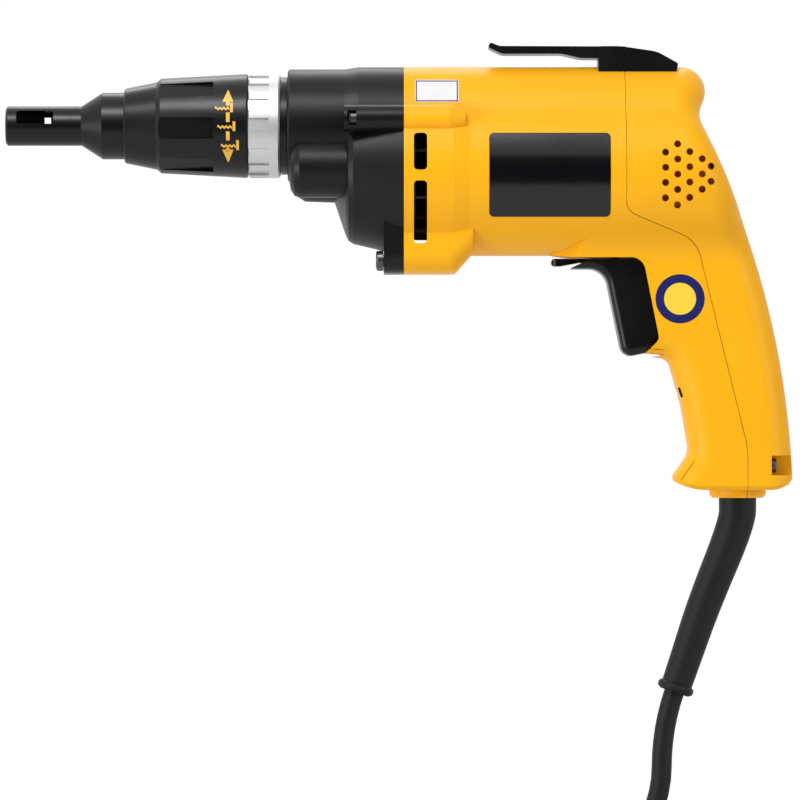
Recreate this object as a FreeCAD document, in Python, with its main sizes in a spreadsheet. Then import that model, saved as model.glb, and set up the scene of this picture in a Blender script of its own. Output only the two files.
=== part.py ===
import FreeCAD, Part
import math
import os
import re
import Sketcher

V = FreeCAD.Vector
doc = FreeCAD.newDocument("drywall_screwdriver")
sheet = doc.addObject("Spreadsheet::Sheet", "Sizes")

# Driving sizes in millimetres. Stations run along the tool from the gear case joint, nose side negative.
SIZES = {
    "spindle_height": (100.0, "spindle line above the middle of the grip"),
    "joint_station": (-130.4, "joint of gear case and motor housing, from the middle of the grip"),
    "gear_module": (0.8, "tooth module of the reduction"),
    "pinion_teeth": (8, "teeth cut on the armature shaft"),
    "gear_teeth": (40, "teeth of the drive gear"),
    "run_gap": (0.05, "radial gap of a running or sliding fit"),
    "free_gap": (0.3, "gap between pieces that must stay clear"),
    "tip_station": (-163.0, "front edge of the nosepiece"),
    "tube_rear": (-132.0, "end of the slim nose tube"),
    "cone_rear": (-123.4, "end of the nose cone"),
    "tube_radius": (8.1, "slim nose tube outside"),
    "tube_bore": (6.2, "slim nose tube inside"),
    "bore_depth": (20.0, "length of the front nose bore"),
    "skirt_radius": (13.65, "wide end of the nosepiece outside"),
    "skirt_bore": (11.3, "wide end of the nosepiece inside"),
    "skirt_rear": (-90.0, "rear edge of the nosepiece"),
    "window_length": (15.2, "sight window along the tool"),
    "window_height": (5.5, "sight window across the tool"),
    "collar_front": (-114.4, "front edge of the depth collar"),
    "collar_rear": (-63.8, "rear edge of the depth collar"),
    "collar_lip_radius": (15.35, "depth collar outside at its front"),
    "collar_radius": (21.3, "depth collar outside at its rear"),
    "flute_count": (7, "finger flutes round the depth collar"),
    "sleeve_radius": (17.4, "bearing surface for collar and lock ring"),
    "sleeve_shoulder": (-84.0, "front shoulder of the nose sleeve"),
    "sleeve_front": (-106.0, "front end of the nose sleeve"),
    "key_width": (4.0, "keys that stop the nosepiece turning"),
    "ring_front": (-63.4, "front edge of the lock ring"),
    "ring_rear": (-50.5, "rear edge of the lock ring"),
    "notch_count": (16, "notches round the lock ring"),
    "spigot_front": (-67.0, "front end of the gear case spigot"),
    "spigot_radius": (15.0, "gear case spigot outside"),
    "case_front": (-47.5, "front face of the gear case barrel"),
    "case_step": (-24.2, "step between gear case barrel and body"),
    "case_nose_radius": (23.2, "gear case barrel outside"),
    "spine_radius": (24.1, "upper round of case and housing about the spindle line"),
    "barrel_radius": (34.1, "motor barrel outside"),
    "shell_wall": (2.6, "wall of the plastic shells"),
    "journal_radius": (7.0, "spindle front journal"),
    "stub_radius": (5.0, "spindle rear journal"),
    "press_travel": (3.6, "push of the spindle that engages the clutch"),
    "gear_front": (-19.0, "front face of the drive gear"),
    "gear_face": (10.0, "face width of the drive gear"),
    "dog_height": (3.0, "height of the clutch dogs"),
    "dog_gap": (1.0, "free gap between the dogs at rest"),
    "holder_front": (-143.0, "front face of the bit holder"),
    "holder_radius": (5.2, "bit holder outside"),
    "hex_flats": (6.35, "hexagon drive across flats"),
    "plate_depth": (7.0, "thickness of the bearing plate"),
    "plate_wall": (4.1, "gear case wall round the bearing plate"),
    "shaft_radius": (4.0, "armature shaft"),
    "bearing_radius": (11.0, "front armature bearing outside"),
    "rear_bearing_radius": (9.5, "rear armature bearing outside"),
    "core_front": (22.0, "front end of the iron cores"),
    "core_length": (40.0, "length of the iron cores"),
    "core_radius": (16.6, "armature core outside"),
    "core_slots": (12, "winding slots in the armature core"),
    "field_gap": (2.9, "air way between field core and housing"),
    "field_bore": (17.2, "field core bore"),
    "commutator_setback": (11.0, "commutator front ahead of the rear bearing carrier"),
    "commutator_radius": (9.5, "commutator outside"),
    "bar_count": (16, "bars of the commutator"),
    "carrier_setback": (19.0, "rear bearing carrier behind the iron cores"),
    "fan_front": (3.0, "front face of the cooling fan"),
    "fan_gap": (3.0, "air way between fan and housing"),
    "fan_blades": (18, "blades of the cooling fan"),
    "grip_half_width": (17.5, "half width of the handle"),
    "trigger_half_width": (12.0, "half width of the trigger"),
    "trigger_travel": (6.3, "pull of the trigger"),
    "hook_half_width": (8.0, "half width of the belt hook"),
    "cord_radius": (4.2, "supply cord"),
    "coil_radius": (60.0, "largest mid radius of the stored cord"),
    "coil_turns": (3, "turns in each layer of the stored cord"),
    "coil_gap": (0.6, "gap between turns of the stored cord"),
}
for row, (alias, (amount, note)) in enumerate(SIZES.items(), start=1):
    sheet.set(f"A{row}", note)
    sheet.set(f"B{row}", str(amount))
    sheet.setAlias(f"B{row}", alias)
doc.recompute()

GEAR_OFFSET = "gear_module * (pinion_teeth + gear_teeth) / 2"
SPINDLE = "spindle_height"
MOTOR = f"(spindle_height - {GEAR_OFFSET})"
BARREL_BORE = "(barrel_radius - shell_wall)"
PLATE_RADIUS = "(barrel_radius - plate_wall)"
FIELD_RADIUS = f"({BARREL_BORE} - field_gap)"
FAN_RADIUS = f"({BARREL_BORE} - fan_gap)"
CORE_REAR = "(core_front + core_length)"
CARRIER_FRONT = f"({CORE_REAR} + carrier_setback)"
COMMUTATOR = f"({CARRIER_FRONT} - commutator_setback)"
NODES = []


def bound(text):
    """An expression on the size sheet from short names."""
    return re.sub(r"[a-z][a-z_]*", lambda m: "Sizes." + m.group() if m.group() in SIZES else m.group(), text)


def number(text):
    return float(sheet.evalExpression(bound(str(text))))


def drive(item, prop, text):
    item.setExpression(prop, bound(str(text)))


def at(text):
    return f"joint_station + ({text})"


def node(item, label):
    """Marks a finished sub-part and gives it its name."""
    item.Label = label
    NODES.append(item)
    return item


def shape_node(label, shape):
    item = doc.addObject("Part::Feature", label)
    item.Shape = shape
    return node(item, label)


# Bound solids: rods, cones and blocks that are merged and cut.

TURN_X = FreeCAD.Rotation(V(0, 1, 0), 90)
TURN_Y = FreeCAD.Rotation(V(1, 0, 0), -90)
TURN = {"x": TURN_X, "y": TURN_Y, "z": FreeCAD.Rotation()}


def seat(item, x, y, z):
    drive(item, "Placement.Base.x", x)
    drive(item, "Placement.Base.y", y)
    drive(item, "Placement.Base.z", z)


def rod(start, end, radius, across="0", height="0", along="x"):
    """A round bar from start to end along one axis; across and height place its line."""
    item = doc.addObject("Part::Cylinder", "rod")
    item.Placement = FreeCAD.Placement(V(), TURN[along])
    drive(item, "Radius", radius)
    drive(item, "Height", f"({end}) - ({start})")
    spots = {"x": (start, across, height), "y": (across, start, height), "z": (across, height, start)}
    seat(item, *spots[along])
    return item


def block(x0, x1, y0, y1, z0, z1):
    item = doc.addObject("Part::Box", "block")
    drive(item, "Length", f"({x1}) - ({x0})")
    drive(item, "Width", f"({y1}) - ({y0})")
    drive(item, "Height", f"({z1}) - ({z0})")
    seat(item, x0, y0, z0)
    return item


def hexagon(start, end, flats, height):
    """A hexagon bar along the tool."""
    item = doc.addObject("Part::Prism", "hexagon")
    item.Polygon = 6
    item.Placement = FreeCAD.Placement(V(), TURN_X)
    drive(item, "Circumradius", f"({flats}) / sqrt(3)")
    drive(item, "Height", f"({end}) - ({start})")
    seat(item, start, "0", height)
    return item


def merged(adds, cuts=()):
    """Adds fused into one piece with the cuts taken away."""
    result = adds[0]
    if len(adds) > 1:
        result = doc.addObject("Part::MultiFuse", "merged")
        result.Shapes = list(adds)
    for tool in cuts:
        cut = doc.addObject("Part::Cut", "cut")
        cut.Base = result
        cut.Tool = tool
        result = cut
    return result


def turned(name, line, profile):
    """A turned body: stations and radii about the spindle or motor line."""
    body = doc.addObject("PartDesign::Body", name)
    sketch = body.newObject("Sketcher::SketchObject", name + "_profile")
    plane = [f for f in body.Origin.OriginFeatures if f.Role == "XZ_Plane"][0]
    sketch.AttachmentSupport = [(plane, "")]
    sketch.MapMode = "FlatFace"
    spots = [V(number(s), number(r), 0) for s, r in profile]
    count = len(spots)
    for i in range(count):
        sketch.addGeometry(Part.LineSegment(spots[i], spots[(i + 1) % count]), False)
    for i in range(count):
        sketch.addConstraint(Sketcher.Constraint("Coincident", i, 2, (i + 1) % count, 1))
    for i, (s, r) in enumerate(profile):
        for kind, text, amount in (("DistanceX", s, spots[i].x), ("DistanceY", r, spots[i].y)):
            k = sketch.addConstraint(Sketcher.Constraint(kind, -1, 1, i, 1, amount))
            drive(sketch, f"Constraints[{k}]", text)
    turn = body.newObject("PartDesign::Revolution", name + "_turn")
    turn.Profile = sketch
    turn.ReferenceAxis = (sketch, ["H_Axis"])
    turn.Angle = 360
    body.Tip = turn
    drive(body, "Placement.Base.x", "joint_station")
    drive(body, "Placement.Base.z", line)
    doc.recompute()
    return body


def tube_piece(name, line, front, rear, inner, outer):
    """A plain ring or bush."""
    return turned(name, line, [(front, inner), (rear, inner), (rear, outer), (front, outer)])


def flutes(body, name, front, rear, half_width, floor, count):
    """Straight cuts round a turned body, from the floor radius outward."""
    sketch = body.newObject("Sketcher::SketchObject", name + "_outline")
    plane = [f for f in body.Origin.OriginFeatures if f.Role == "XY_Plane"][0]
    sketch.AttachmentSupport = [(plane, "")]
    sketch.MapMode = "FlatFace"
    drive(sketch, "AttachmentOffset.Base.z", floor)
    near_side = f"-({half_width})"
    corners = [(front, near_side), (rear, near_side), (rear, half_width), (front, half_width)]
    spots = [V(number(x), number(y), 0) for x, y in corners]
    for i in range(4):
        sketch.addGeometry(Part.LineSegment(spots[i], spots[(i + 1) % 4]), False)
    for i in range(4):
        sketch.addConstraint(Sketcher.Constraint("Coincident", i, 2, (i + 1) % 4, 1))
    for i, (x, y) in enumerate(corners):
        for kind, text, amount in (("DistanceX", x, spots[i].x), ("DistanceY", y, spots[i].y)):
            k = sketch.addConstraint(Sketcher.Constraint(kind, -1, 1, i, 1, amount))
            drive(sketch, f"Constraints[{k}]", text)
    pocket = body.newObject("PartDesign::Pocket", name)
    pocket.Profile = sketch
    pocket.Type = "ThroughAll"
    pocket.Reversed = True
    body.Tip = pocket
    doc.recompute()
    ring = body.newObject("PartDesign::PolarPattern", name + "_ring")
    ring.Originals = [pocket]
    ring.Axis = ([f for f in body.Origin.OriginFeatures if f.Role == "X_Axis"][0], [""])
    ring.Angle = 360
    drive(ring, "Occurrences", count)
    body.Tip = ring
    doc.recompute()
    return body


# Nose: nosepiece, depth collar, lock ring and the sleeve that carries them.

nose_tube = turned("nose_tube", SPINDLE, [
    ("tip_station + 0.8", "tube_radius"),
    ("tube_rear", "tube_radius"),
    ("cone_rear", "skirt_radius"),
    ("skirt_rear", "skirt_radius"),
    ("skirt_rear", "skirt_bore"),
    ("cone_rear + 4.4", "skirt_bore"),
    ("tube_rear + 5", "tube_bore + 0.6"),
    ("tip_station + bore_depth + 0.6", "tube_bore + 0.6"),
    ("tip_station + bore_depth", "tube_bore"),
    ("tip_station", "tube_bore"),
    ("tip_station", "tube_radius - 0.8"),
])
WINDOW_FRONT = at("tip_station + 4.4")
WINDOW_REAR = f"{WINDOW_FRONT} + window_length"
WINDOW_LOW = "spindle_height + 0.6"


def rounded_window(front, rear, low, high, corner):
    """An opening with round corners through the near wall of the nose tube."""
    near = "-2 * tube_radius"
    stops = (f"{front} + {corner}", f"{rear} - {corner}")
    levels = (f"{low} + {corner}", f"{high} - {corner}")
    tools = [block(*stops, near, "0", low, high), block(front, rear, near, "0", *levels)]
    tools += [rod(near, "0", corner, stop, level, "y") for stop in stops for level in levels]
    return tools


window = rounded_window(WINDOW_FRONT, WINDOW_REAR, WINDOW_LOW, f"{WINDOW_LOW} + window_height", "1.3")
peep_hole = block(f"{WINDOW_REAR} - 4.3", f"{WINDOW_REAR} - 1.6", "0", "2 * tube_radius",
                  f"{WINDOW_LOW} + 0.3", f"{WINDOW_LOW} + 3.1")
keyway = block(at("skirt_rear - 21"), at("skirt_rear + 1"), "-2 * skirt_radius", "2 * skirt_radius",
               "spindle_height - key_width / 2 - 0.2", "spindle_height + key_width / 2 + 0.2")
node(merged([nose_tube], window + [peep_hole, keyway]), "nosepiece")

depth_collar = turned("depth_collar", SPINDLE, [
    ("collar_front", "collar_lip_radius - 0.6"),
    ("collar_front + 0.6", "collar_lip_radius"),
    ("collar_front + 13.2", "collar_radius - 3.4"),
    ("collar_front + 15", "collar_radius - 1.9"),
    ("collar_rear - 0.5", "collar_radius"),
    ("collar_rear", "collar_radius - 0.5"),
    ("collar_rear", "sleeve_radius + 0.2"),
    ("collar_rear - 11.6", "sleeve_radius + 0.2"),
    ("collar_rear - 11.6", "sleeve_radius + 1"),
    ("collar_rear - 13.6", "sleeve_radius + 1"),
    ("collar_rear - 13.6", "sleeve_radius + 0.2"),
    ("sleeve_shoulder - 0.4", "sleeve_radius + 0.2"),
    ("sleeve_shoulder - 0.4", "skirt_radius + 0.2"),
    ("collar_front", "skirt_radius + 0.2"),
])
FLUTE_TURN = FreeCAD.Rotation(V(1, 0, 0), -8)
flutes(depth_collar, "collar_flutes", "collar_front + 12.5", "collar_front + 36.6", "4.3",
       "collar_radius - 2.5", "flute_count")
depth_collar.Placement = FreeCAD.Placement(depth_collar.Placement.Base, FLUTE_TURN)
node(depth_collar, "depth_collar")

lock_ring = turned("lock_ring", SPINDLE, [
    ("ring_front", "collar_radius - 0.5"),
    ("ring_front + 0.5", "collar_radius"),
    ("ring_rear - 0.8", "collar_radius"),
    ("ring_rear", "collar_radius - 0.8"),
    ("ring_rear", "sleeve_radius + 0.2"),
    ("ring_front", "sleeve_radius + 0.2"),
])
flutes(lock_ring, "ring_notches", "ring_front - 1", "ring_front + 8.4", "2.4",
       "collar_radius - 0.9", "notch_count")
node(lock_ring, "lock_ring")

sleeve_body = turned("sleeve_body", SPINDLE, [
    ("case_front - 0.3", "spigot_radius + run_gap * 2"),
    ("case_front - 0.3", "sleeve_radius + 2.6"),
    ("ring_rear + 0.3", "sleeve_radius + 2.6"),
    ("ring_rear + 0.3", "sleeve_radius"),
    ("collar_rear - 12", "sleeve_radius"),
    ("collar_rear - 12", "sleeve_radius - 0.7"),
    ("collar_rear - 13.2", "sleeve_radius - 0.7"),
    ("collar_rear - 13.2", "sleeve_radius"),
    ("sleeve_shoulder", "sleeve_radius"),
    ("sleeve_shoulder", "skirt_bore - 0.2"),
    ("sleeve_front", "skirt_bore - 0.2"),
    ("sleeve_front", "skirt_bore - 2.1"),
    ("spigot_front - 3", "skirt_bore - 2.1"),
    ("spigot_front - 3", "spigot_radius + run_gap * 2"),
])
KEY_TOP = "skirt_radius - 0.4"
key_near = block(at("sleeve_front + 1"), at("sleeve_front + 8"), f"-({KEY_TOP})", "-(skirt_bore - 1.2)",
                 "spindle_height - key_width / 2", "spindle_height + key_width / 2")
key_far = block(at("sleeve_front + 1"), at("sleeve_front + 8"), "skirt_bore - 1.2", KEY_TOP,
                "spindle_height - key_width / 2", "spindle_height + key_width / 2")
node(merged([sleeve_body, key_near, key_far]), "nose_sleeve")

node(tube_piece("collar_retainer", SPINDLE, "collar_rear - 13.2", "collar_rear - 12",
                "sleeve_radius - 0.7", "sleeve_radius + 0.8"), "collar_retaining_ring")
node(tube_piece("friction_ring", SPINDLE, "spigot_front + 5", "spigot_front + 6.6",
                "spigot_radius - 1", "spigot_radius + run_gap"), "nose_friction_ring")


# Spindle line: bit holder, spindle with clutch dogs, drive gear and their bearings.

SPINDLE_FRONT = "spigot_front + 1"
FLANGE_REAR = "gear_front - 2 * dog_height - dog_gap"
holder_body = turned("holder_body", SPINDLE, [
    ("holder_front", "0"),
    (SPINDLE_FRONT, "0"),
    (SPINDLE_FRONT, "holder_radius"),
    ("holder_front + 6.4", "holder_radius"),
    ("holder_front + 6.2", "holder_radius - 0.5"),
    ("holder_front + 4.8", "holder_radius - 0.5"),
    ("holder_front + 4.6", "holder_radius"),
    ("holder_front + 0.6", "holder_radius"),
    ("holder_front", "holder_radius - 0.6"),
])
shank = hexagon(at(f"{SPINDLE_FRONT} - 1"), at(f"{SPINDLE_FRONT} + 18"), "hex_flats - 0.05", SPINDLE)
socket = hexagon(at("holder_front - 1"), at("holder_front + 10"), "hex_flats + 0.08", SPINDLE)
magnet_seat = rod(at("holder_front + 9"), at("holder_front + 13"), "2.5", height=SPINDLE)
node(merged([holder_body, shank], [socket, magnet_seat]), "bit_holder")
node(merged([rod(at("holder_front + 10"), at("holder_front + 13"), "2.5", height=SPINDLE)]), "bit_magnet")


def sector(inner, outer, start, end, front, rear, line):
    """A ring piece between two angles about a line along the tool."""
    ring = Part.makeCylinder(outer, rear - front, V(front, 0, line), V(1, 0, 0), end - start)
    ring = ring.cut(Part.makeCylinder(inner, rear - front, V(front, 0, line), V(1, 0, 0)))
    ring.rotate(V(0, 0, line), V(1, 0, 0), start)
    return ring


def involute_gear(teeth, line, front, rear, phase):
    """A spur gear with involute flanks about a line along the tool."""
    module = number("gear_module")
    pitch = module * teeth / 2
    pressure = math.radians(25)
    base = pitch * math.cos(pressure)
    tip = pitch + 0.7 * module
    root = pitch - 0.95 * module
    backlash = 0.1
    half_tooth = (math.pi * module / 2 - backlash) / (2 * pitch)
    lead = math.tan(pressure) - pressure

    def flank(radius, side):
        turn = 0.0
        if radius > base:
            angle = math.acos(base / radius)
            turn = math.tan(angle) - angle
        return side * (half_tooth + lead - turn)

    def spot(radius, angle):
        return V(front, radius * math.cos(angle), line + radius * math.sin(angle))

    start = max(base, root)
    steps = [start, (start + tip) / 2, tip]
    edges = []
    for tooth in range(int(teeth)):
        middle = phase + 2 * math.pi * tooth / teeth
        after = middle + 2 * math.pi / teeth
        rise = [spot(r, middle + flank(r, -1)) for r in steps]
        fall = [spot(r, middle + flank(r, 1)) for r in reversed(steps)]
        low = spot(root, middle + flank(start, 1))
        following = spot(root, after + flank(start, -1))
        if root < base:
            edges.append(Part.LineSegment(spot(root, middle + flank(start, -1)), rise[0]).toShape())
        edges.append(Part.Arc(*rise).toShape())
        edges.append(Part.LineSegment(rise[-1], fall[0]).toShape())
        edges.append(Part.Arc(*fall).toShape())
        if root < base:
            edges.append(Part.LineSegment(fall[-1], low).toShape())
        edges.append(Part.LineSegment(low, following).toShape())
    return Part.Face(Part.Wire(edges)).extrude(V(rear - front, 0, 0))


JOINT = number("joint_station")
SPINDLE_Z = number(SPINDLE)
MOTOR_Z = number(MOTOR)


def station(text):
    return JOINT + number(text)


DOG_COUNT = 3
DOG_INNER = 9.5
DOG_OUTER = 14.5
DOG_HALF_TURN = 25


def dogs(front, rear, turn):
    """The clutch dogs of one side."""
    middles = [turn + 360 / DOG_COUNT * k for k in range(DOG_COUNT)]
    return [sector(DOG_INNER, DOG_OUTER, middle - DOG_HALF_TURN, middle + DOG_HALF_TURN,
                   front, rear, SPINDLE_Z) for middle in middles]


spindle_body = turned("spindle_body", SPINDLE, [
    (SPINDLE_FRONT, "0"),
    ("0 - plate_depth + press_travel", "0"),
    ("0 - plate_depth + press_travel", "stub_radius"),
    (FLANGE_REAR, "stub_radius"),
    (FLANGE_REAR, DOG_OUTER),
    (f"{FLANGE_REAR} - 4", DOG_OUTER),
    (f"{FLANGE_REAR} - 4", "journal_radius"),
    (SPINDLE_FRONT, "journal_radius"),
])
spindle_socket = hexagon(at(f"{SPINDLE_FRONT} - 1"), at(f"{SPINDLE_FRONT} + 20"), "hex_flats + 0.05", SPINDLE)
spindle_core = merged([spindle_body], [spindle_socket])
doc.recompute()
dog_tip = station(f"{FLANGE_REAR} + dog_height")
spindle_dogs = dogs(station(FLANGE_REAR) - 1, dog_tip, 60)
shape_node("spindle", spindle_core.Shape.fuse(spindle_dogs).removeSplitter())

GEAR_START = station("gear_front")
GEAR_END = station("gear_front + gear_face")
GEAR_RELIEF = 2.5
RELIEF_START = V(GEAR_END - GEAR_RELIEF, 0, SPINDLE_Z)
gear_rim = involute_gear(number("gear_teeth"), SPINDLE_Z, GEAR_START, GEAR_END, -math.pi / 2)
gear_bore = Part.makeCylinder(number("stub_radius + run_gap"), 40,
                              V(GEAR_START - 10, 0, SPINDLE_Z), V(1, 0, 0))
relief = Part.makeCylinder(13, GEAR_RELIEF, RELIEF_START, V(1, 0, 0))
hub = Part.makeCylinder(9, GEAR_RELIEF, RELIEF_START, V(1, 0, 0))
gear_dogs = dogs(station("gear_front - dog_height"), GEAR_START + 1, 0)
shape_node("drive_gear", gear_rim.cut(relief).fuse([hub] + gear_dogs).cut(gear_bore).removeSplitter())


def half_turn(start, end, lower):
    """A half circle standing upright between two level points."""
    middle = (start + end) / 2 + V(0, 0, -1 if lower else 1) * ((end - start).Length / 2)
    return Part.Arc(start, middle, end).toShape()


def tube_along(edges, radius, sides, corner=0):
    """A tube of flat sides along joined lines and arcs."""
    start = edges[0].valueAt(edges[0].FirstParameter)
    slope = edges[0].tangentAt(edges[0].FirstParameter)
    side = slope.cross(V(0, 1, 0)).normalize()
    up = slope.cross(side)
    turns = [2 * math.pi * (k + 0.5) / sides for k in range(sides)]
    corners = [start + side * (radius * math.cos(a)) + up * (radius * math.sin(a)) for a in turns]
    ring = Part.makePolygon(corners + corners[:1])
    return Part.Wire(edges).makePipeShell([ring], True, False, corner)


def spring(front, rear, radius, wire, turns, line):
    """A hidden compression spring of square wire, wound in short straight steps."""
    steps = 10 * turns
    rise = (rear - front - wire) / steps
    spots = []
    for k in range(steps + 1):
        turn = 2 * math.pi * k / 10
        spots.append(V(front + wire / 2 + rise * k, radius * math.cos(turn), line + radius * math.sin(turn)))
    edges = [Part.LineSegment(a, b).toShape() for a, b in zip(spots, spots[1:])]
    return tube_along(edges, wire / 2, 4, 1)


SPRING_GAP = 0.05
shape_node("clutch_spring", spring(station(FLANGE_REAR) + SPRING_GAP, GEAR_START - SPRING_GAP,
                                   radius=7.2, wire=1.2, turns=3, line=SPINDLE_Z))
node(tube_piece("rear_washer", SPINDLE, "gear_front + gear_face + 0.2", "0 - plate_depth",
                "stub_radius + 0.2", "9"), "gear_thrust_washer")
node(tube_piece("front_bush", SPINDLE, "spigot_front + 9", f"{FLANGE_REAR} - 7",
                "journal_radius + run_gap", "10"), "spindle_front_bush")
node(tube_piece("rear_bush", SPINDLE, "0 - plate_depth", "0", "stub_radius + run_gap", "8"),
     "spindle_rear_bush")


# Gear case with its nose spigot, bearing room, screw bosses and lower flange.

case_body = turned("case_body", MOTOR, [
    ("0 - 28.3", "0"),
    ("0", "0"),
    ("0", "barrel_radius"),
    ("0 - 20.6", "barrel_radius - 4.9"),
    ("0 - 22.6", "barrel_radius - 6.1"),
    ("0 - 23.7", "barrel_radius - 8.1"),
    ("0 - 28.3", "12.5"),
])
case_top = turned("case_top", SPINDLE, [
    ("spigot_front", "0"),
    ("0", "0"),
    ("0", "spine_radius"),
    ("case_step + 5.5", "spine_radius"),
    ("case_step", "case_nose_radius"),
    ("case_front + 0.8", "case_nose_radius"),
    ("case_front", "case_nose_radius - 0.8"),
    ("case_front", "spigot_radius"),
    ("spigot_front + 6.6", "spigot_radius"),
    ("spigot_front + 6.6", "spigot_radius - 1"),
    ("spigot_front + 5", "spigot_radius - 1"),
    ("spigot_front + 5", "spigot_radius"),
    ("spigot_front + 0.6", "spigot_radius"),
    ("spigot_front", "spigot_radius - 0.6"),
])
dome = turned("dome", MOTOR, [
    ("0 - 46.2", "0"),
    ("0 - 24", "0"),
    ("0 - 24", "12.4"),
    ("0 - 40.5", "11.8"),
    ("0 - 44.6", "9.2"),
    ("0 - 46.2", "5"),
])
SWELL_ACROSS = "-15"
SWELL_HEIGHT = f"{MOTOR} + 1.4"
swell = turned("swell", SWELL_HEIGHT, [
    ("0 - 46.5", "0"),
    ("0 - 18", "0"),
    ("0 - 18", "12.2"),
    ("0 - 42.4", "12.2"),
    ("0 - 44.6", "11.3"),
    ("0 - 46", "9.2"),
    ("0 - 46.5", "6.8"),
])
drive(swell, "Placement.Base.y", SWELL_ACROSS)
BOSS_RADIUS = 5.5
FOOT_DEPTH = 8.2
FOOT_HALF = 25
FOOT_ROUND = 8
FOOT_LOW = f"{MOTOR} - barrel_radius - 7.3"
FOOT_TOP = f"{MOTOR} - 20.8"
UPPER_SCREW = ("(spine_radius + 3.4)", "spindle_height + 1.9")
LOWER_SCREW = ("18.5", f"{MOTOR} - barrel_radius - 2")
case_adds = [case_body, case_top, dome, swell]
case_cuts = []
for side in ("-", ""):
    across, height = side + UPPER_SCREW[0], UPPER_SCREW[1]
    case_adds.append(rod(at("case_step"), at("0"), BOSS_RADIUS, across, height))
    case_cuts.append(rod(at("case_step - 1"), at("case_step + 5"), "3.9", across, height))
    case_cuts.append(rod(at("case_step - 1"), at("1"), "2.15", across, height))
    mouth = sorted((across, f"2 * {across}"), key=number)
    case_cuts.append(block(at("case_step + 1.2"), at("case_step + 5"), *mouth,
                           f"{height} - 3", f"{height} + 3"))
case_adds.append(block(at(f"0 - {FOOT_DEPTH}"), at("0"), -FOOT_HALF, FOOT_HALF, FOOT_LOW, FOOT_TOP))
for side in ("-", ""):
    case_cuts.append(rod(at("0 - 20"), at("1"), "2.15", side + LOWER_SCREW[0], LOWER_SCREW[1]))
case_cuts += [
    rod(at("0 - plate_depth"), at("1"), PLATE_RADIUS, height=MOTOR),
    rod(at(f"{FLANGE_REAR} - 6"), at("0 - plate_depth + 1"), "18.3", height=SPINDLE),
    rod(at("0 - 24"), at("0 - plate_depth + 1"), "8", height=MOTOR),
    rod(at("0 - 38"), at("0 - 23"), "6", height=MOTOR),
    rod(at("0 - 41"), at("0 - plate_depth + 1"), "6", SWELL_ACROSS, SWELL_HEIGHT),
    rod(at("spigot_front - 1"), at(f"{FLANGE_REAR} - 5"), "10", height=SPINDLE),
]
case_solid = merged(case_adds, case_cuts)
doc.recompute()


def soften(shape, radius, pick):
    """Rounds the edges that pick selects."""
    return shape.makeFillet(radius, [e for e in shape.Edges if pick(e)])


def foot_edge(edge):
    """True for a bottom edge of the screw foot that runs along the tool."""
    room = edge.BoundBox
    return room.YLength < 1e-6 and room.ZLength < 1e-6 and abs(room.ZMin - number(FOOT_LOW)) < 1e-3


shape_node("gear_case", soften(case_solid.Shape, FOOT_ROUND, foot_edge))


# Motor line: armature, its bearings, the field and the brushes.

CARRIER_REAR = f"{CARRIER_FRONT} + 7"
PLATE_FRONT = "0 - plate_depth"

FRONT_RACE = "shaft_radius + 0.22 * (bearing_radius - shaft_radius)"
REAR_RACE = "shaft_radius - 1 + 0.22 * (rear_bearing_radius - shaft_radius + 1)"
shaft_body = turned("shaft_body", MOTOR, [
    ("0 - 37.5", "0"),
    (f"{CARRIER_REAR} + 1", "0"),
    (f"{CARRIER_REAR} + 1", "shaft_radius - 1"),
    (CARRIER_REAR, "shaft_radius - 1"),
    (CARRIER_REAR, REAR_RACE),
    (f"{CARRIER_FRONT} + 1", REAR_RACE),
    (f"{CARRIER_FRONT} + 1", "shaft_radius"),
    ("0", "shaft_radius"),
    ("0", FRONT_RACE),
    (PLATE_FRONT, FRONT_RACE),
    (PLATE_FRONT, "2.4"),
    ("0 - 37.5", "2.4"),
])
pinion = involute_gear(number("pinion_teeth"), MOTOR_Z, station("gear_front - 1.4"),
                       station("0 - plate_depth + 0.5"), math.pi / 2 + math.pi / number("pinion_teeth"))
shape_node("armature_shaft", shaft_body.Shape.fuse(pinion).removeSplitter())
node(tube_piece("tip_bush", MOTOR, "0 - 38", "0 - 32.4", "2.4 + run_gap", "6"), "pinion_tip_bush")
node(tube_piece("front_shield", MOTOR, PLATE_FRONT, "0", f"{FRONT_RACE} + run_gap", "bearing_radius"),
     "front_bearing")
node(tube_piece("rear_shield", MOTOR, f"{CARRIER_FRONT} + 1", CARRIER_REAR, f"{REAR_RACE} + run_gap",
                "rear_bearing_radius"), "rear_bearing")

plate_disc = turned("plate_disc", MOTOR, [
    (PLATE_FRONT, "bearing_radius"),
    ("0", "bearing_radius"),
    ("0", PLATE_RADIUS),
    (PLATE_FRONT, PLATE_RADIUS),
])
plate_cuts = [rod(at(f"{PLATE_FRONT} - 1"), at("1"), "8", height=SPINDLE)]
node(merged([plate_disc], plate_cuts), "bearing_plate")

stack = tube_piece("armature_stack", MOTOR, "core_front", CORE_REAR, "shaft_radius", "core_radius")
flutes(stack, "winding_slots", "core_front - 1", f"{CORE_REAR} + 1", "1.6", "core_radius - 7", "core_slots")
node(stack, "armature_core")

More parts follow.
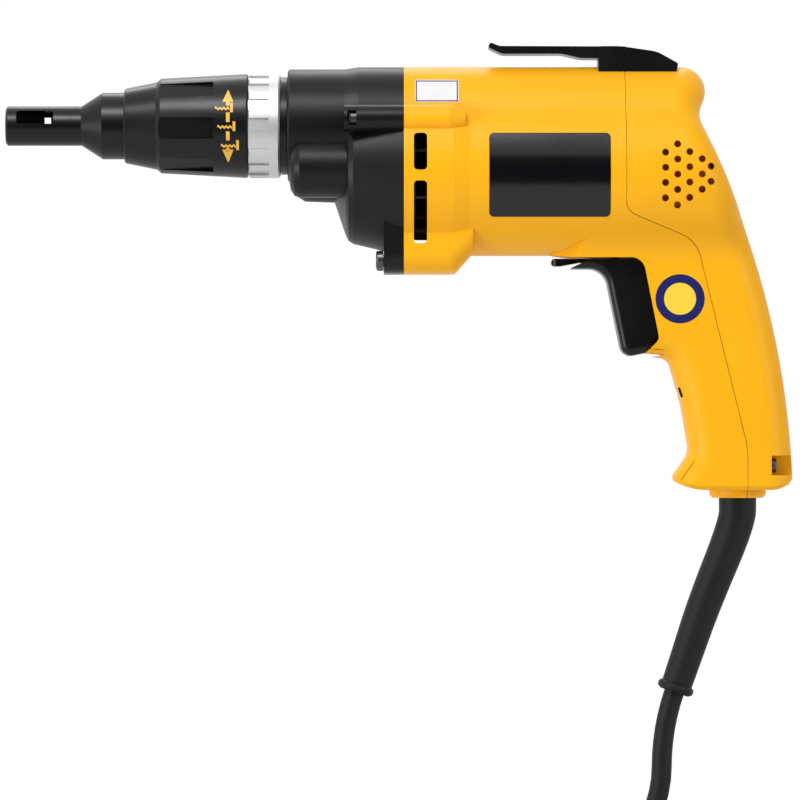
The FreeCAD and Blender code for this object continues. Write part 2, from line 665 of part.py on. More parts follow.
END_INNER = number("shaft_radius") + 1.2
END_OUTER = number("core_radius") - 1.2
first_end = Part.makeCylinder(END_OUTER, 7, V(station("core_front - 7"), 0, MOTOR_Z), V(1, 0, 0))
last_end = Part.makeCylinder(END_OUTER, 6, V(station(CORE_REAR), 0, MOTOR_Z), V(1, 0, 0))
shaft_room = Part.makeCylinder(END_INNER, 2 * number("core_length"), V(JOINT, 0, MOTOR_Z), V(1, 0, 0))
winding = [first_end.cut(shaft_room), last_end.cut(shaft_room)]
for k in range(int(number("core_slots"))):
    floor = number("core_radius - 6.8")
    bar = Part.makeBox(number("core_length"), 2.8, 5.6, V(station("core_front"), -1.4, MOTOR_Z + floor))
    bar.rotate(V(0, 0, MOTOR_Z), V(1, 0, 0), 360 * k / number("core_slots"))
    winding.append(bar)
shape_node("armature_winding", Part.makeCompound(winding))

bars_ring = turned("bars_ring", MOTOR, [
    (COMMUTATOR, "shaft_radius"),
    (f"{COMMUTATOR} + 10", "shaft_radius"),
    (f"{COMMUTATOR} + 10", "commutator_radius"),
    (f"{COMMUTATOR} + 1.6", "commutator_radius"),
    (f"{COMMUTATOR} + 1.6", "commutator_radius + 1.6"),
    (COMMUTATOR, "commutator_radius + 1.6"),
])
flutes(bars_ring, "bar_slots", f"{COMMUTATOR} - 1", f"{COMMUTATOR} + 11", "0.2",
       "commutator_radius - 0.8", "bar_count")
node(bars_ring, "commutator")

fan_hub = turned("fan_hub", MOTOR, [
    ("fan_front", "shaft_radius"),
    ("fan_front + 9", "shaft_radius"),
    ("fan_front + 9", "9"),
    ("fan_front + 1.6", "9"),
    ("fan_front + 1.6", f"{FAN_RADIUS} - 1"),
    ("fan_front", f"{FAN_RADIUS} - 1"),
])
BLADE_ROOT = 13
BLADE_LENGTH = 6.8
BLADE_THICKNESS = 1.3
BLADE_RAKE = 24
blades = []
for k in range(int(number("fan_blades"))):
    reach = number(FAN_RADIUS) - BLADE_ROOT
    blade_start = V(station("fan_front + 1.6"), -BLADE_THICKNESS / 2, MOTOR_Z + BLADE_ROOT)
    blade = Part.makeBox(BLADE_LENGTH, BLADE_THICKNESS, reach, blade_start)
    blade.rotate(V(0, 0, MOTOR_Z + BLADE_ROOT), V(1, 0, 0), BLADE_RAKE)
    blade.rotate(V(0, 0, MOTOR_Z), V(1, 0, 0), 360 * k / number("fan_blades"))
    blades.append(blade)
shape_node("cooling_fan", fan_hub.Shape.fuse(blades).removeSplitter())

YOKE_BORE = number(FIELD_RADIUS) - 4.6
FIELD_BORE = number("field_bore")
CORE_SPAN = (station("core_front"), station(CORE_REAR))
POLE_TURNS = (0, 180)
POLE_HALF = 52
COIL_HALF = 79
yoke = sector(YOKE_BORE, number(FIELD_RADIUS), 0, 360, *CORE_SPAN, MOTOR_Z)
poles = [sector(FIELD_BORE, YOKE_BORE + 0.6, turn - POLE_HALF, turn + POLE_HALF, *CORE_SPAN, MOTOR_Z)
         for turn in POLE_TURNS]
shape_node("field_core", yoke.fuse(poles).removeSplitter())
coils = []
for turn in POLE_TURNS:
    outer = sector(FIELD_BORE + 0.4, YOKE_BORE - 0.3, turn - COIL_HALF, turn + COIL_HALF,
                   station("core_front - 6.5"), station(f"{CORE_REAR} + 6.5"), MOTOR_Z)
    inner = sector(FIELD_BORE - 1, YOKE_BORE + 1, turn - POLE_HALF - 1.2, turn + POLE_HALF + 1.2,
                   CORE_SPAN[0] - 0.4, CORE_SPAN[1] + 0.4, MOTOR_Z)
    coils.append(outer.cut(inner))
shape_node("field_coils", Part.makeCompound(coils))

BRUSH_MIDDLE = f"{COMMUTATOR} + 6"
BRUSH_REAR = "commutator_radius + 10"
BRUSH_ROOM_END = "commutator_radius + 17"
STRIP_WIDTH = 5
ROLL_RADIUS = 2.9
ROLL_BORE = 1.5


def span(side, near, far):
    """Limits across the tool on one side of the motor line."""
    return (near, far) if side > 0 else (f"-({far})", f"-({near})")


def brush_block(reach, limits):
    """A square bar about the middle of a brush, as far to each side as its reach."""
    return block(at(f"{BRUSH_MIDDLE} - {reach}"), at(f"{BRUSH_MIDDLE} + {reach}"), *limits,
                 f"{MOTOR} - {reach}", f"{MOTOR} + {reach}")


holders = []
brushes = []
springs = []
for side in (-1, 1):
    case_box = block(at(f"{BRUSH_MIDDLE} - 3.9"), at(CARRIER_FRONT),
                     *span(side, "commutator_radius + 1.8", "commutator_radius + 18"),
                     f"{MOTOR} - 4.4", f"{MOTOR} + 4.4")
    room_box = brush_block("3.1", span(side, "commutator_radius + 1", BRUSH_ROOM_END))
    holders.append(merged([case_box], [room_box]))
    brushes.append(brush_block("3", span(side, "commutator_radius + run_gap", BRUSH_REAR)))
    rest = [number(limit) for limit in span(side, BRUSH_REAR, BRUSH_ROOM_END)]
    roll_start = V(station(BRUSH_MIDDLE) - STRIP_WIDTH / 2, sum(rest) / 2, MOTOR_Z)
    strip_start = V(roll_start.x, rest[0], MOTOR_Z - ROLL_RADIUS)
    roll = Part.makeCylinder(ROLL_RADIUS, STRIP_WIDTH, roll_start, V(1, 0, 0))
    strip = Part.makeBox(STRIP_WIDTH, rest[1] - rest[0], 0.4, strip_start)
    roll_bore = Part.makeCylinder(ROLL_BORE, STRIP_WIDTH, roll_start, V(1, 0, 0))
    springs.append(roll.fuse(strip).cut(roll_bore))
node(merged(holders), "brush_holders")
node(merged(brushes), "carbon_brushes")
shape_node("brush_springs", Part.makeCompound(springs))

carrier_disc = turned("carrier_disc", MOTOR, [
    (CARRIER_FRONT, "6"),
    (f"{CARRIER_FRONT} + 1", "6"),
    (f"{CARRIER_FRONT} + 1", "rear_bearing_radius"),
    (CARRIER_REAR, "rear_bearing_radius"),
    (CARRIER_REAR, f"{BARREL_BORE} - 0.1"),
    (CARRIER_FRONT, f"{BARREL_BORE} - 0.1"),
])
air_ways = []
AIR_SPREAD = f"(rear_bearing_radius + {BARREL_BORE}) / 2 * sqrt(0.5)"
AIR_RADIUS = f"({BARREL_BORE} - rear_bearing_radius) / 2 - 4.5"
for across in (f"-{AIR_SPREAD}", AIR_SPREAD):
    for sign in "-+":
        air_ways.append(rod(at(f"{CARRIER_FRONT} - 1"), at(f"{CARRIER_REAR} + 1"), AIR_RADIUS, across,
                            f"{MOTOR} {sign} {AIR_SPREAD}"))
node(merged([carrier_disc], air_ways), "bearing_carrier")


# Shells: motor housing and rear handle cover, one form split along the seam.

REAR_LINE = [(-6, SPINDLE_Z + 50), (-6, SPINDLE_Z + 14.5, 14), (-10.9, SPINDLE_Z + 3.5, 10),
             (25.8, 26.0, 346), (29.5, -75)]
FRONT_LINE = [(-34, -63.3), (-13.6, -33.9, 8), (-17.0, -13.5, 60), (-22.4, 4.7, 5), (-50, 7.0)]
SOLE_LINE = [(-60, -23.4), (-13.4, -49.0, 24), (21.5, -49.0, 12), (60, -33)]
SOLE_HEIGHT = SOLE_LINE[1][1]
KEEL_DROP = 0.8
KEEL_FRONT = -69.5
BELLY_HEIGHT = MOTOR_Z - number("barrel_radius") - KEEL_DROP
CORD_EXIT = 6.4
RIM_RADIUS = 10.0
RIM_WALL = 5.5
ROOM_STEPS = 11
SOLE_BEVEL = 1.6
LEG_SHARE = 0.95
SHELL_END = 50
CLEAR_HALF = 60
SPINE_BLEND = 7
KEEL_BLEND = 18


def bar_x(radius, front, rear, across, height):
    return Part.makeCylinder(radius, rear - front, V(front, across, height), V(1, 0, 0))


def bar_z(radius, low, high, along, across=0.0):
    return Part.makeCylinder(radius, high - low, V(along, across, low), V(0, 0, 1))


def box(x0, x1, y0, y1, z0, z1):
    return Part.makeBox(x1 - x0, y1 - y0, z1 - z0, V(x0, y0, z0))


def rounded_outline(corners, closed=True):
    """Edges of a side-view outline; each corner is x, z and a rounding radius."""
    count = len(corners)
    spots = [V(c[0], 0, c[1]) for c in corners]
    ends = []
    edges = []
    for i, corner in enumerate(corners):
        radius = corner[2] if len(corner) > 2 else 0
        if not radius or (not closed and i in (0, count - 1)):
            ends.append((spots[i], spots[i]))
            continue
        into = (spots[i - 1] - spots[i]).normalize()
        onto = (spots[(i + 1) % count] - spots[i]).normalize()
        half = into.getAngle(onto) / 2
        short_leg = min((spots[i - 1] - spots[i]).Length, (spots[(i + 1) % count] - spots[i]).Length)
        reach = min(radius / math.tan(half), LEG_SHARE * short_leg)
        radius = reach * math.tan(half)
        bisector = (into + onto).normalize()
        first = spots[i] + into * reach
        last = spots[i] + onto * reach
        middle = spots[i] + bisector * (radius / math.sin(half) - radius)
        edges.append((i, Part.Arc(first, middle, last).toShape()))
        ends.append((first, last))
    lines = []
    for i in range(count if closed else count - 1):
        lines.append((i + 0.5, Part.LineSegment(ends[i][1], ends[(i + 1) % count][0]).toShape()))
    return [edge for _, edge in sorted(edges + lines, key=lambda pair: pair[0])]


def slab(edges, half_width):
    """A side-view outline drawn out to both sides."""
    piece = Part.Face(Part.Wire(edges)).extrude(V(0, 2 * half_width, 0))
    piece.translate(V(0, -half_width, 0))
    return piece


def side_on(face):
    """True for a face that is straight across the tool."""
    u0, u1, v0, v1 = face.ParameterRange
    spread = [(a, b) for a in (0.2, 0.5, 0.8) for b in (0.2, 0.5, 0.8)]
    return all(abs(face.normalAt(u0 + a * (u1 - u0), v0 + b * (v1 - v0)).y) < 1e-4 for a, b in spread)


def side_profile(front, rear_line, front_line, belly):
    """The side view of the shells, open towards the gear case."""
    edges = rounded_outline(rear_line, closed=False)
    low_rear, low_front = rear_line[-1], front_line[0]
    edges.append(Part.LineSegment(V(low_rear[0], 0, low_rear[1]), V(low_front[0], 0, low_front[1])).toShape())
    edges += rounded_outline(front_line, closed=False)
    top, lip = rear_line[0], front_line[-1]
    stops = [lip[:2], (lip[0], belly), (KEEL_FRONT + 7, belly), (KEEL_FRONT, belly + KEEL_DROP - 0.05),
             (KEEL_FRONT, belly), (front, belly), (front, top[1]), top[:2]]
    stops = [V(x, 0, z) for x, z in stops]
    edges += [Part.LineSegment(a, b).toShape() for a, b in zip(stops, stops[1:])]
    return slab(edges, CLEAR_HALF)


def outer_shell():
    """Barrel, spine and grip as one rounded solid."""
    grip = number("grip_half_width")
    barrel = bar_x(number("barrel_radius"), JOINT, SHELL_END, 0, MOTOR_Z)
    spine = bar_x(number("spine_radius"), JOINT, SHELL_END, 0, SPINDLE_Z)
    solid = barrel.fuse(spine).removeSplitter()
    solid = soften(solid, SPINE_BLEND, lambda e: e.BoundBox.YLength < 1e-3 and e.BoundBox.XLength > 100
                   and 5 < abs(e.CenterOfMass.y) < 30)
    solid = solid.fuse(box(KEEL_FRONT, SHELL_END, -grip, grip, -80, MOTOR_Z)).removeSplitter()
    keel_line = MOTOR_Z - math.sqrt(number("barrel_radius") ** 2 - grip ** 2)
    solid = soften(solid, KEEL_BLEND, lambda e: e.BoundBox.XLength > 40
                   and abs(e.CenterOfMass.z - keel_line) < 1 and abs(e.CenterOfMass.y) > 10)
    for side in (-1, 1):
        corners = [V(KEEL_FRONT - 1, side * 5, 0), V(KEEL_FRONT - 1, side * 25, 0),
                   V(KEEL_FRONT + 17.5, side * 25, 0)]
        wedge = Part.Face(Part.makePolygon(corners + corners[:1])).extrude(V(0, 0, MOTOR_Z))
        solid = solid.cut(wedge.cut(barrel))
    solid = solid.common(side_profile(JOINT - 5, REAR_LINE, FRONT_LINE, BELLY_HEIGHT)).removeSplitter()
    profile_faces = [f for f in solid.Faces if side_on(f) and f.CenterOfMass.x > -49]
    rim = []
    for edge in solid.Edges:
        sides = solid.ancestorsOfType(edge, Part.Face)
        straight = [any(f.isSame(g) for g in profile_faces) for f in sides]
        on_rim = len(straight) == 2 and sum(straight) == 1
        if on_rim and edge.BoundBox.ZMax > -56 and edge.CenterOfMass.x > -33:
            rim.append(edge)
    rear_rim = [e for e in rim if e.BoundBox.XMax > -12]
    fore_rim = [e for e in rim if e.BoundBox.XMax <= -12]
    solid = solid.makeFillet(RIM_RADIUS, rear_rim)
    fore_rim = [e for e in solid.Edges if any(e.CenterOfMass.sub(f.CenterOfMass).Length < 0.5
                                             and abs(e.Length - f.Length) < 0.5 for f in fore_rim)]
    solid = solid.makeFillet(RIM_RADIUS, fore_rim)
    above_sole = rounded_outline([(-200, 200), (-200, -23.4)] + SOLE_LINE + [(60, 200)])
    solid = solid.common(slab(above_sole, CLEAR_HALF))
    sole_faces = [f for f in solid.Faces if side_on(f) and f.BoundBox.ZMax < -44 and f.BoundBox.XLength > 4]
    sole = []
    for edge in solid.Edges:
        sides = solid.ancestorsOfType(edge, Part.Face)
        if sum(any(f.isSame(g) for g in sole_faces) for f in sides) == 1:
            sole.append(edge)
    return solid.makeChamfer(SOLE_BEVEL, sole)


def shell_room():
    """The hollow inside the shells, with thicker walls along the rounded rims."""
    wall = number("shell_wall")
    grip = number("grip_half_width") - wall
    front = JOINT - 5
    barrel = bar_x(number("barrel_radius") - wall, front, SHELL_END, 0, MOTOR_Z)
    spine = bar_x(number("spine_radius") - wall, front, SHELL_END, 0, SPINDLE_Z)
    solid = barrel.fuse([spine, box(-60, SHELL_END, -grip, grip, SOLE_HEIGHT + 4, MOTOR_Z)]).removeSplitter()
    back = Part.Wire(rounded_outline(REAR_LINE, closed=False)).discretize(Number=ROOM_STEPS)
    rear_line = [(p.x - RIM_WALL, p.z) for p in back]
    front_line = [(x + RIM_WALL, z + wall) for x, z, *rest in FRONT_LINE]
    profile = side_profile(front - 5, rear_line, front_line, BELLY_HEIGHT + wall)
    return solid.common(profile).removeSplitter()


outer_form = outer_shell()
inner_form = shell_room()
shell = outer_form.cut(inner_form)

# Outside additions: fan band, screw foot, screw bosses and the cord neck.
BAND_RADIUS = number("barrel_radius") + 1.2
BAND_END = JOINT + 20
band = bar_x(BAND_RADIUS, JOINT, BAND_END, 0, MOTOR_Z)
taper = Part.makeCone(BAND_RADIUS, number("barrel_radius") - 0.2, 8, V(BAND_END, 0, MOTOR_Z), V(1, 0, 0))
foot_low = number(FOOT_LOW)
foot = slab(rounded_outline([(JOINT, foot_low), (JOINT + 20.9, foot_low, 2), (JOINT + 28, foot_low + 8),
                             (JOINT + 28, number(FOOT_TOP)), (JOINT, number(FOOT_TOP))]), FOOT_HALF)
foot = soften(foot, FOOT_ROUND, foot_edge)
bosses = []
for side in (-1, 1):
    across = side * number(UPPER_SCREW[0])
    height = number(UPPER_SCREW[1])
    bosses.append(bar_x(BOSS_RADIUS, JOINT, JOINT + 19, across, height))
    bosses.append(Part.makeCone(BOSS_RADIUS, 3.6, 6, V(JOINT + 19, across, height), V(1, 0, 0)))
NECK_LOW = -52.3
neck = bar_z(11.6, NECK_LOW, SOLE_HEIGHT + 5, CORD_EXIT)
neck = neck.makeChamfer(1.2, [e for e in neck.Edges if e.BoundBox.ZMax < NECK_LOW + 0.1])
bulk = shell.fuse([band.fuse([taper, foot]).cut(inner_form)] + bosses + [neck]).removeSplitter()

# Inside additions: field rings, trigger floor, switch shelf, screw pillars and clamp pillars.
field_pads = []
for start in (number("core_front"), number(CORE_REAR) - 4):
    for turn in (45, 135, 225, 315):
        field_pads.append(sector(number(FIELD_RADIUS) + 0.1, number(BARREL_BORE) + 0.4, turn - 14, turn + 14,
                                 JOINT + start, JOINT + start + 4, MOTOR_Z))
HOOK_SCREWS = (-45.6, -33.0)
HOOK_BOSS_LOW = SPINDLE_Z + 13.5
HOOK_SEATS = (SPINDLE_Z + 29.4, SPINDLE_Z + 28.0)
ribs = field_pads + [
    box(-56, -33.5, -16.5, 16.5, BELLY_HEIGHT, BELLY_HEIGHT + 2.8),
    box(-20.3, -3.5, -16.5, 16.5, 6.4, 10),
    bar_z(4.2, HOOK_BOSS_LOW, SPINDLE_Z + 22.5, HOOK_SCREWS[0]),
    bar_z(4.2, HOOK_BOSS_LOW, SPINDLE_Z + 22.5, HOOK_SCREWS[1]),
]
CLAMP_HEIGHT = -25.0
CLAMP_SPREAD = 9
COVER_SCREW = (12.8, -39.0)
COVER_HEAD = 3.0
COVER_RECESS = COVER_SCREW[0] - COVER_HEAD - 0.4
for side in (-1, 1):
    across = side * CLAMP_SPREAD
    ribs.append(box(-15, 2.0, across - 2.5, across + 2.5, CLAMP_HEIGHT - 3, CLAMP_HEIGHT + 3))
    ribs.append(bar_x(3.5, -11, 19.3, side * COVER_SCREW[0], COVER_SCREW[1]))
    low, high = sorted((side * (COVER_RECESS - 2.4), side * 17.5))
    ribs.append(box(17.5, 27, low, high, -45, -33))
ribs = [rib.common(outer_form) for rib in ribs]
bulk = bulk.fuse(ribs).removeSplitter()

LEVER_PIVOT = -44.0
PIVOT_RADIUS = 2.0

# Openings: trigger notch and channel, vents, screw holes, badge seats, rear recesses and the cord bore.
notch = slab(rounded_outline([(-75, BELLY_HEIGHT), (-33, BELLY_HEIGHT, 6), (-26.3, 12.4, 3.5),
                              (-32.0, 6.7), (-60, -12), (-75, -12)]), 40)
channel = slab(rounded_outline([(-60, 3.4), (-33, 4.6), (-24, 6.2), (-22.2, 12),
                                (-22.2, BELLY_HEIGHT - 1), (-60, BELLY_HEIGHT - 1)]),
               number("trigger_half_width") + 0.7)
cord_bore = bar_z(7.8, -60, SOLE_HEIGHT + 8, CORD_EXIT)
pivot_hole = bar_z(PIVOT_RADIUS + number("run_gap"), BELLY_HEIGHT - 1, BELLY_HEIGHT + 2.8, LEVER_PIVOT)
cuts = [notch, channel, cord_bore, pivot_hole]
for low, high in ((MOTOR_Z - 29.5, MOTOR_Z - 4.3), (MOTOR_Z, MOTOR_Z + 15.1)):
    slot = box(-126.4, -121.0, -60, 60, low, high)
    cuts.append(soften(slot, 1.6, lambda e: e.BoundBox.YLength > 100))
for side in (-1, 1):
    cuts.append(bar_x(2.05, JOINT - 1, JOINT + 17, side * number(UPPER_SCREW[0]), number(UPPER_SCREW[1])))
    cuts.append(bar_x(2.05, JOINT - 1, JOINT + 17, side * number(LOWER_SCREW[0]), number(LOWER_SCREW[1])))
    cuts.append(bar_x(1.55, -10, 22, side * COVER_SCREW[0], COVER_SCREW[1]))
    cuts.append(bar_x(1.3, -6, 10, side * CLAMP_SPREAD, CLAMP_HEIGHT))
    low, high = sorted((side * COVER_RECESS, side * 30))
    cuts.append(box(19.3, 40, low, high, -43.0, -34.9))
for spot in HOOK_SCREWS:
    cuts.append(bar_z(1.95, HOOK_BOSS_LOW + 2, SPINDLE_Z + 30, spot))


def badge_form(depth, proud, shrink):
    """A curved plate on the near side of the barrel."""
    radius = number("barrel_radius")
    skin = bar_x(radius + proud, -100, -40, 0, MOTOR_Z).cut(bar_x(radius - depth, -100, -40, 0, MOTOR_Z))
    frame = box(-95.9 + shrink, -46.7 - shrink, -60, 0, MOTOR_Z - 18.9 + shrink, MOTOR_Z + 15.1 - shrink)
    frame = soften(frame, 2, lambda e: e.BoundBox.YLength > 50)
    return skin.common(frame)


cuts.append(badge_form(0.8, 3, 0))
VENT_RADIUS = 1.5
VENT_PITCH = 6.15


def vent_hole(along, height):
    """A small eight-sided hole through both sides."""
    turns = [math.pi * (k + 0.5) / 4 for k in range(8)]
    corners = [V(along + VENT_RADIUS * math.cos(a), -60, height + VENT_RADIUS * math.sin(a)) for a in turns]
    return Part.Face(Part.makePolygon(corners + corners[:1])).extrude(V(0, 120, 0))


VENT_COLUMNS = ((-24.6, -2.1), (-19.7, -1.8), (-14.8, -1.9), (-9.8, -1.7), (-6.2, -1.6))
VENT_COUNTS = (4, 5, 4, 3, 2)
for (along, middle), count in zip(VENT_COLUMNS, VENT_COUNTS):
    for k in range(count):
        cuts.append(vent_hole(along, MOTOR_Z + middle + VENT_PITCH * (k - (count - 1) / 2)))
bulk = bulk.cut(cuts)

# The seam runs down behind the motor, forward of the rear screws and along the grip.
SEAM = [(-40.4, SPINDLE_Z + 40), (-40.4, MOTOR_Z - 16.5, 6), (-11.4, MOTOR_Z - 28.4, 13),
        (9.6, -32.3, 40), (9.6, -80)]


def rear_region(gap):
    line = rounded_outline([(x + gap, z + gap) + tuple(rest) for x, z, *rest in SEAM], closed=False)
    top, low = [V(x + gap, 0, z + gap) for x, z in (SEAM[0], SEAM[-1])]
    stops = [low, V(70, 0, low.z), V(70, 0, top.z), top]
    return slab(line + [Part.LineSegment(a, b).toShape() for a, b in zip(stops, stops[1:])], CLEAR_HALF)


def main_solid(shape):
    """The one piece, or the largest where a cut leaves chips."""
    return max(shape.Solids, key=lambda s: s.Volume)


housing_shape = bulk.cut(rear_region(0))
cover_shape = bulk.common(rear_region(0.18))
shape_node("motor_housing", main_solid(housing_shape))
shape_node("handle_cover", main_solid(cover_shape))
shape_node("side_badge", badge_form(0.75, 0.15, 0.12))


def screw(head_radius, head_height, shank_radius, length):
    """A screw along +X with its head at the near end."""
    return bar_x(head_radius, -head_height, 0, 0, 0).fuse(bar_x(shank_radius, 0, length, 0, 0))


def screws(label, piece, spots, turn=None):
    """Copies of one screw at several places."""
    copies = []
    for spot in spots:
        copy = piece.copy()
        copy.Placement = FreeCAD.Placement(V(*spot), turn or FreeCAD.Rotation())
        copies.append(copy)
    return shape_node(label, Part.makeCompound(copies))


upper_set = [screw(3.7, 3.0, 2.0, 34) for _ in range(2)]
lower_set = [screw(3.7, 3.2, 2.0, 23) for _ in range(2)]
case_screws = []
for piece, side in zip(upper_set, (-1, 1)):
    piece.translate(V(station("case_step + 5"), side * number(UPPER_SCREW[0]), number(UPPER_SCREW[1])))
    case_screws.append(piece)
for piece, side in zip(lower_set, (-1, 1)):
    piece.translate(V(JOINT - FOOT_DEPTH, side * number(LOWER_SCREW[0]), number(LOWER_SCREW[1])))
    case_screws.append(piece)
shape_node("gear_case_screws", Part.makeCompound(case_screws))
screws("handle_cover_screws", screw(COVER_HEAD, 2.2, 1.5, 26),
       [(19.3, s * COVER_SCREW[0], COVER_SCREW[1]) for s in (-1, 1)], FreeCAD.Rotation(V(0, 0, 1), 180))

# Belt hook with its seat on the spine.
HOOK_ARM = [(-96.0, 31.9, 0.8), (-95.2, 33.9, 0.8), (-91.2, 32.4, 4), (-40, 32.2), (-40, 27.4),
            (-58, 27.4, 6), (-66, 29.2, 8), (-90.5, 29.2, 6)]
HOOK_BASE = [(-51.0, 32.2, 1.5), (-42, 32.2, 30), (-27, 30.0, 14), (-18.4, 25.2, 1.0),
             (-19.8, 18), (-51.0, 18)]


def lifted(corners):
    """Corners of an outline measured from the spindle line."""
    return rounded_outline([(x, SPINDLE_Z + z) + tuple(rest) for x, z, *rest in corners])


arm = slab(lifted(HOOK_ARM), number("hook_half_width"))
base = slab(lifted(HOOK_BASE), number("hook_half_width") + 2.4)
hook = arm.fuse(base).removeSplitter()
hook = hook.cut(bar_x(number("spine_radius") + 0.05, -120, 20, 0, SPINDLE_Z))
for spot, high in zip(HOOK_SCREWS, HOOK_SEATS):
    hook = hook.cut([bar_z(2.0, HOOK_BOSS_LOW - 3, high + 11, spot), bar_z(3.9, high, high + 11, spot)])
shape_node("belt_hook", hook)
hook_screws = []
for spot, high in zip(HOOK_SCREWS, HOOK_SEATS):
    piece = screw(3.6, 2.2, 1.9, high - HOOK_BOSS_LOW - 2.5)
    piece.Placement = FreeCAD.Placement(V(spot, 0, high), FreeCAD.Rotation(V(0, 1, 0), 90))
    hook_screws.append(piece)
shape_node("belt_hook_screws", Part.makeCompound(hook_screws))

# Controls: trigger on its spring, switch and the reverse lever.
TRIGGER_BACK = -24.0
SPRING_SOLID = 4.7
SWITCH_FRONT = TRIGGER_BACK + number("trigger_travel") + SPRING_SOLID
STEM_HEIGHT = 26.0
TRIGGER_TOP = BELLY_HEIGHT - 0.5
TRIGGER_LIP = BELLY_HEIGHT - 4.6
LEVER_FLOOR = BELLY_HEIGHT - 2.0
pad_edges = rounded_outline([(-62, TRIGGER_TOP + 10), (-62, TRIGGER_LIP), (-48.4, TRIGGER_LIP, 8),
                             (-41.0, 4.9, 4.5), (-30.8, 7.0, 5), (-26.0, 12.0),
                             (TRIGGER_BACK, 15), (TRIGGER_BACK, TRIGGER_TOP + 10)])
trigger = slab(pad_edges, number("trigger_half_width"))
trigger = soften(trigger, 3.2, lambda e: e.BoundBox.YLength < 1e-3 and e.BoundBox.ZLength > 5
                 and -49 < e.CenterOfMass.x < -41)
top_edges = rounded_outline([(-70, 0), (-70, TRIGGER_LIP + 0.4), (-62, TRIGGER_LIP + 0.4),
                             (-54, TRIGGER_TOP, 2), (-31, TRIGGER_TOP, 4),
                             (TRIGGER_BACK, TRIGGER_TOP - 3.4), (TRIGGER_BACK, 0)])
trigger = trigger.common(slab(top_edges, 40))
LEVER_ROOM = box(-64, -39.4, -6.8, 6.8, LEVER_FLOOR - number("free_gap"), TRIGGER_TOP + 1)
trigger = trigger.cut(LEVER_ROOM)
trigger = trigger.fuse(bar_x(3.0, TRIGGER_BACK - 1, SWITCH_FRONT + 4, 0, STEM_HEIGHT))
shape_node("trigger", trigger)
shape_node("trigger_spring", spring(TRIGGER_BACK + SPRING_GAP, SWITCH_FRONT - SPRING_GAP,
                                    radius=4.6, wire=1.0, turns=4, line=STEM_HEIGHT))
switch = box(SWITCH_FRONT, 8, -10.5, 10.5, 10, BELLY_HEIGHT - 3.9)
switch = soften(switch, 1.2, lambda e: e.BoundBox.ZLength > 10)
switch = switch.cut(bar_x(3.3, SWITCH_FRONT - 1, -1.5, 0, STEM_HEIGHT))
shape_node("trigger_switch", switch)
LEVER_TOP = BELLY_HEIGHT - 0.4
LEVER_LOW = BELLY_HEIGHT - 3.5
LEVER_FRONT = -70.1
lever_edges = rounded_outline([(LEVER_FRONT, LEVER_LOW, 1.4), (-66.4, LEVER_LOW, 2), (-58.5, LEVER_FLOOR),
                               (LEVER_PIVOT, LEVER_FLOOR), (LEVER_PIVOT, LEVER_TOP),
                               (LEVER_FRONT, LEVER_TOP, 1.4)])
paddle = box(LEVER_FRONT, -63, -5.5, 5.5, LEVER_LOW - 1, LEVER_TOP + 1)
paddle = soften(paddle, 2.4, lambda e: e.BoundBox.ZLength > 2 and e.BoundBox.YLength < 0.1
                and e.BoundBox.XMax < LEVER_FRONT + 0.1)
paddle = paddle.common(slab(lever_edges, 6))
LEVER_HALF = 3.6
lever_eye = bar_z(LEVER_HALF, LEVER_FLOOR, LEVER_TOP, LEVER_PIVOT)
lever_pin = bar_z(PIVOT_RADIUS, LEVER_TOP - 0.5, BELLY_HEIGHT + 2.7, LEVER_PIVOT)
lever = slab(lever_edges, LEVER_HALF).fuse([paddle, lever_eye, lever_pin]).removeSplitter()
shape_node("reverse_lever", lever)

# Supply cord: strain relief, free stretch, stored coil, plug and tie.
RELIEF_TOP = NECK_LOW - 0.3
RELIEF_LINE = [(CORD_EXIT, RELIEF_TOP), (CORD_EXIT, RELIEF_TOP - 9.6, 44), (-7.4, -95.9, 300), (-19.6, -132)]
RELIEF_LARGE = 7.7
RELIEF_SMALL = 6.25
RELIEF_STATIONS = 7
relief_path = Part.Wire(rounded_outline(RELIEF_LINE, closed=False))
relief_points = relief_path.discretize(Number=RELIEF_STATIONS)
relief_slopes = [(b - a).normalize() for a, b in zip(relief_points, relief_points[1:])]
relief_slope = relief_slopes[-1]
relief_end = relief_points[-1]
middle_slopes = [(a + b).normalize() for a, b in zip(relief_slopes, relief_slopes[1:])]
slopes = [V(0, 0, -1)] + middle_slopes + [relief_slope]
rings = []
for k, (point, slope) in enumerate(zip(relief_points, slopes)):
    thick = RELIEF_LARGE + (RELIEF_SMALL - RELIEF_LARGE) * k / (RELIEF_STATIONS - 1)
    rings.append(Part.Wire([Part.Circle(point, slope, thick).toShape()]))
boot = Part.makeLoft(rings, True, True)
CAP_LENGTH = 4.2
FLANGE_LOW = -43.9
FLANGE_TOP = -41
CORE_TOP = -15
CLAMP_FRONT = CORD_EXIT + number("cord_radius")
CLAMP_BACK = CLAMP_FRONT + 3.4
cap = Part.makeCylinder(RELIEF_SMALL + 1.1, CAP_LENGTH, relief_end - relief_slope * CAP_LENGTH, relief_slope)
root = bar_z(RELIEF_LARGE, RELIEF_TOP, FLANGE_LOW, CORD_EXIT)
flange = bar_z(10.4, FLANGE_LOW, FLANGE_TOP, CORD_EXIT)
boot = boot.fuse([cap, root, flange]).removeSplitter()
shape_node("strain_relief", boot)
shape_node("cord_core", bar_z(number("cord_radius"), FLANGE_TOP, CORE_TOP, CORD_EXIT))
clamp = box(CLAMP_FRONT, CLAMP_BACK, -12, 12, CLAMP_HEIGHT - 3, CLAMP_HEIGHT + 3)
clamp = clamp.cut([bar_x(1.5, 0, 30, s * CLAMP_SPREAD, CLAMP_HEIGHT) for s in (-1, 1)])
shape_node("cord_clamp", clamp)
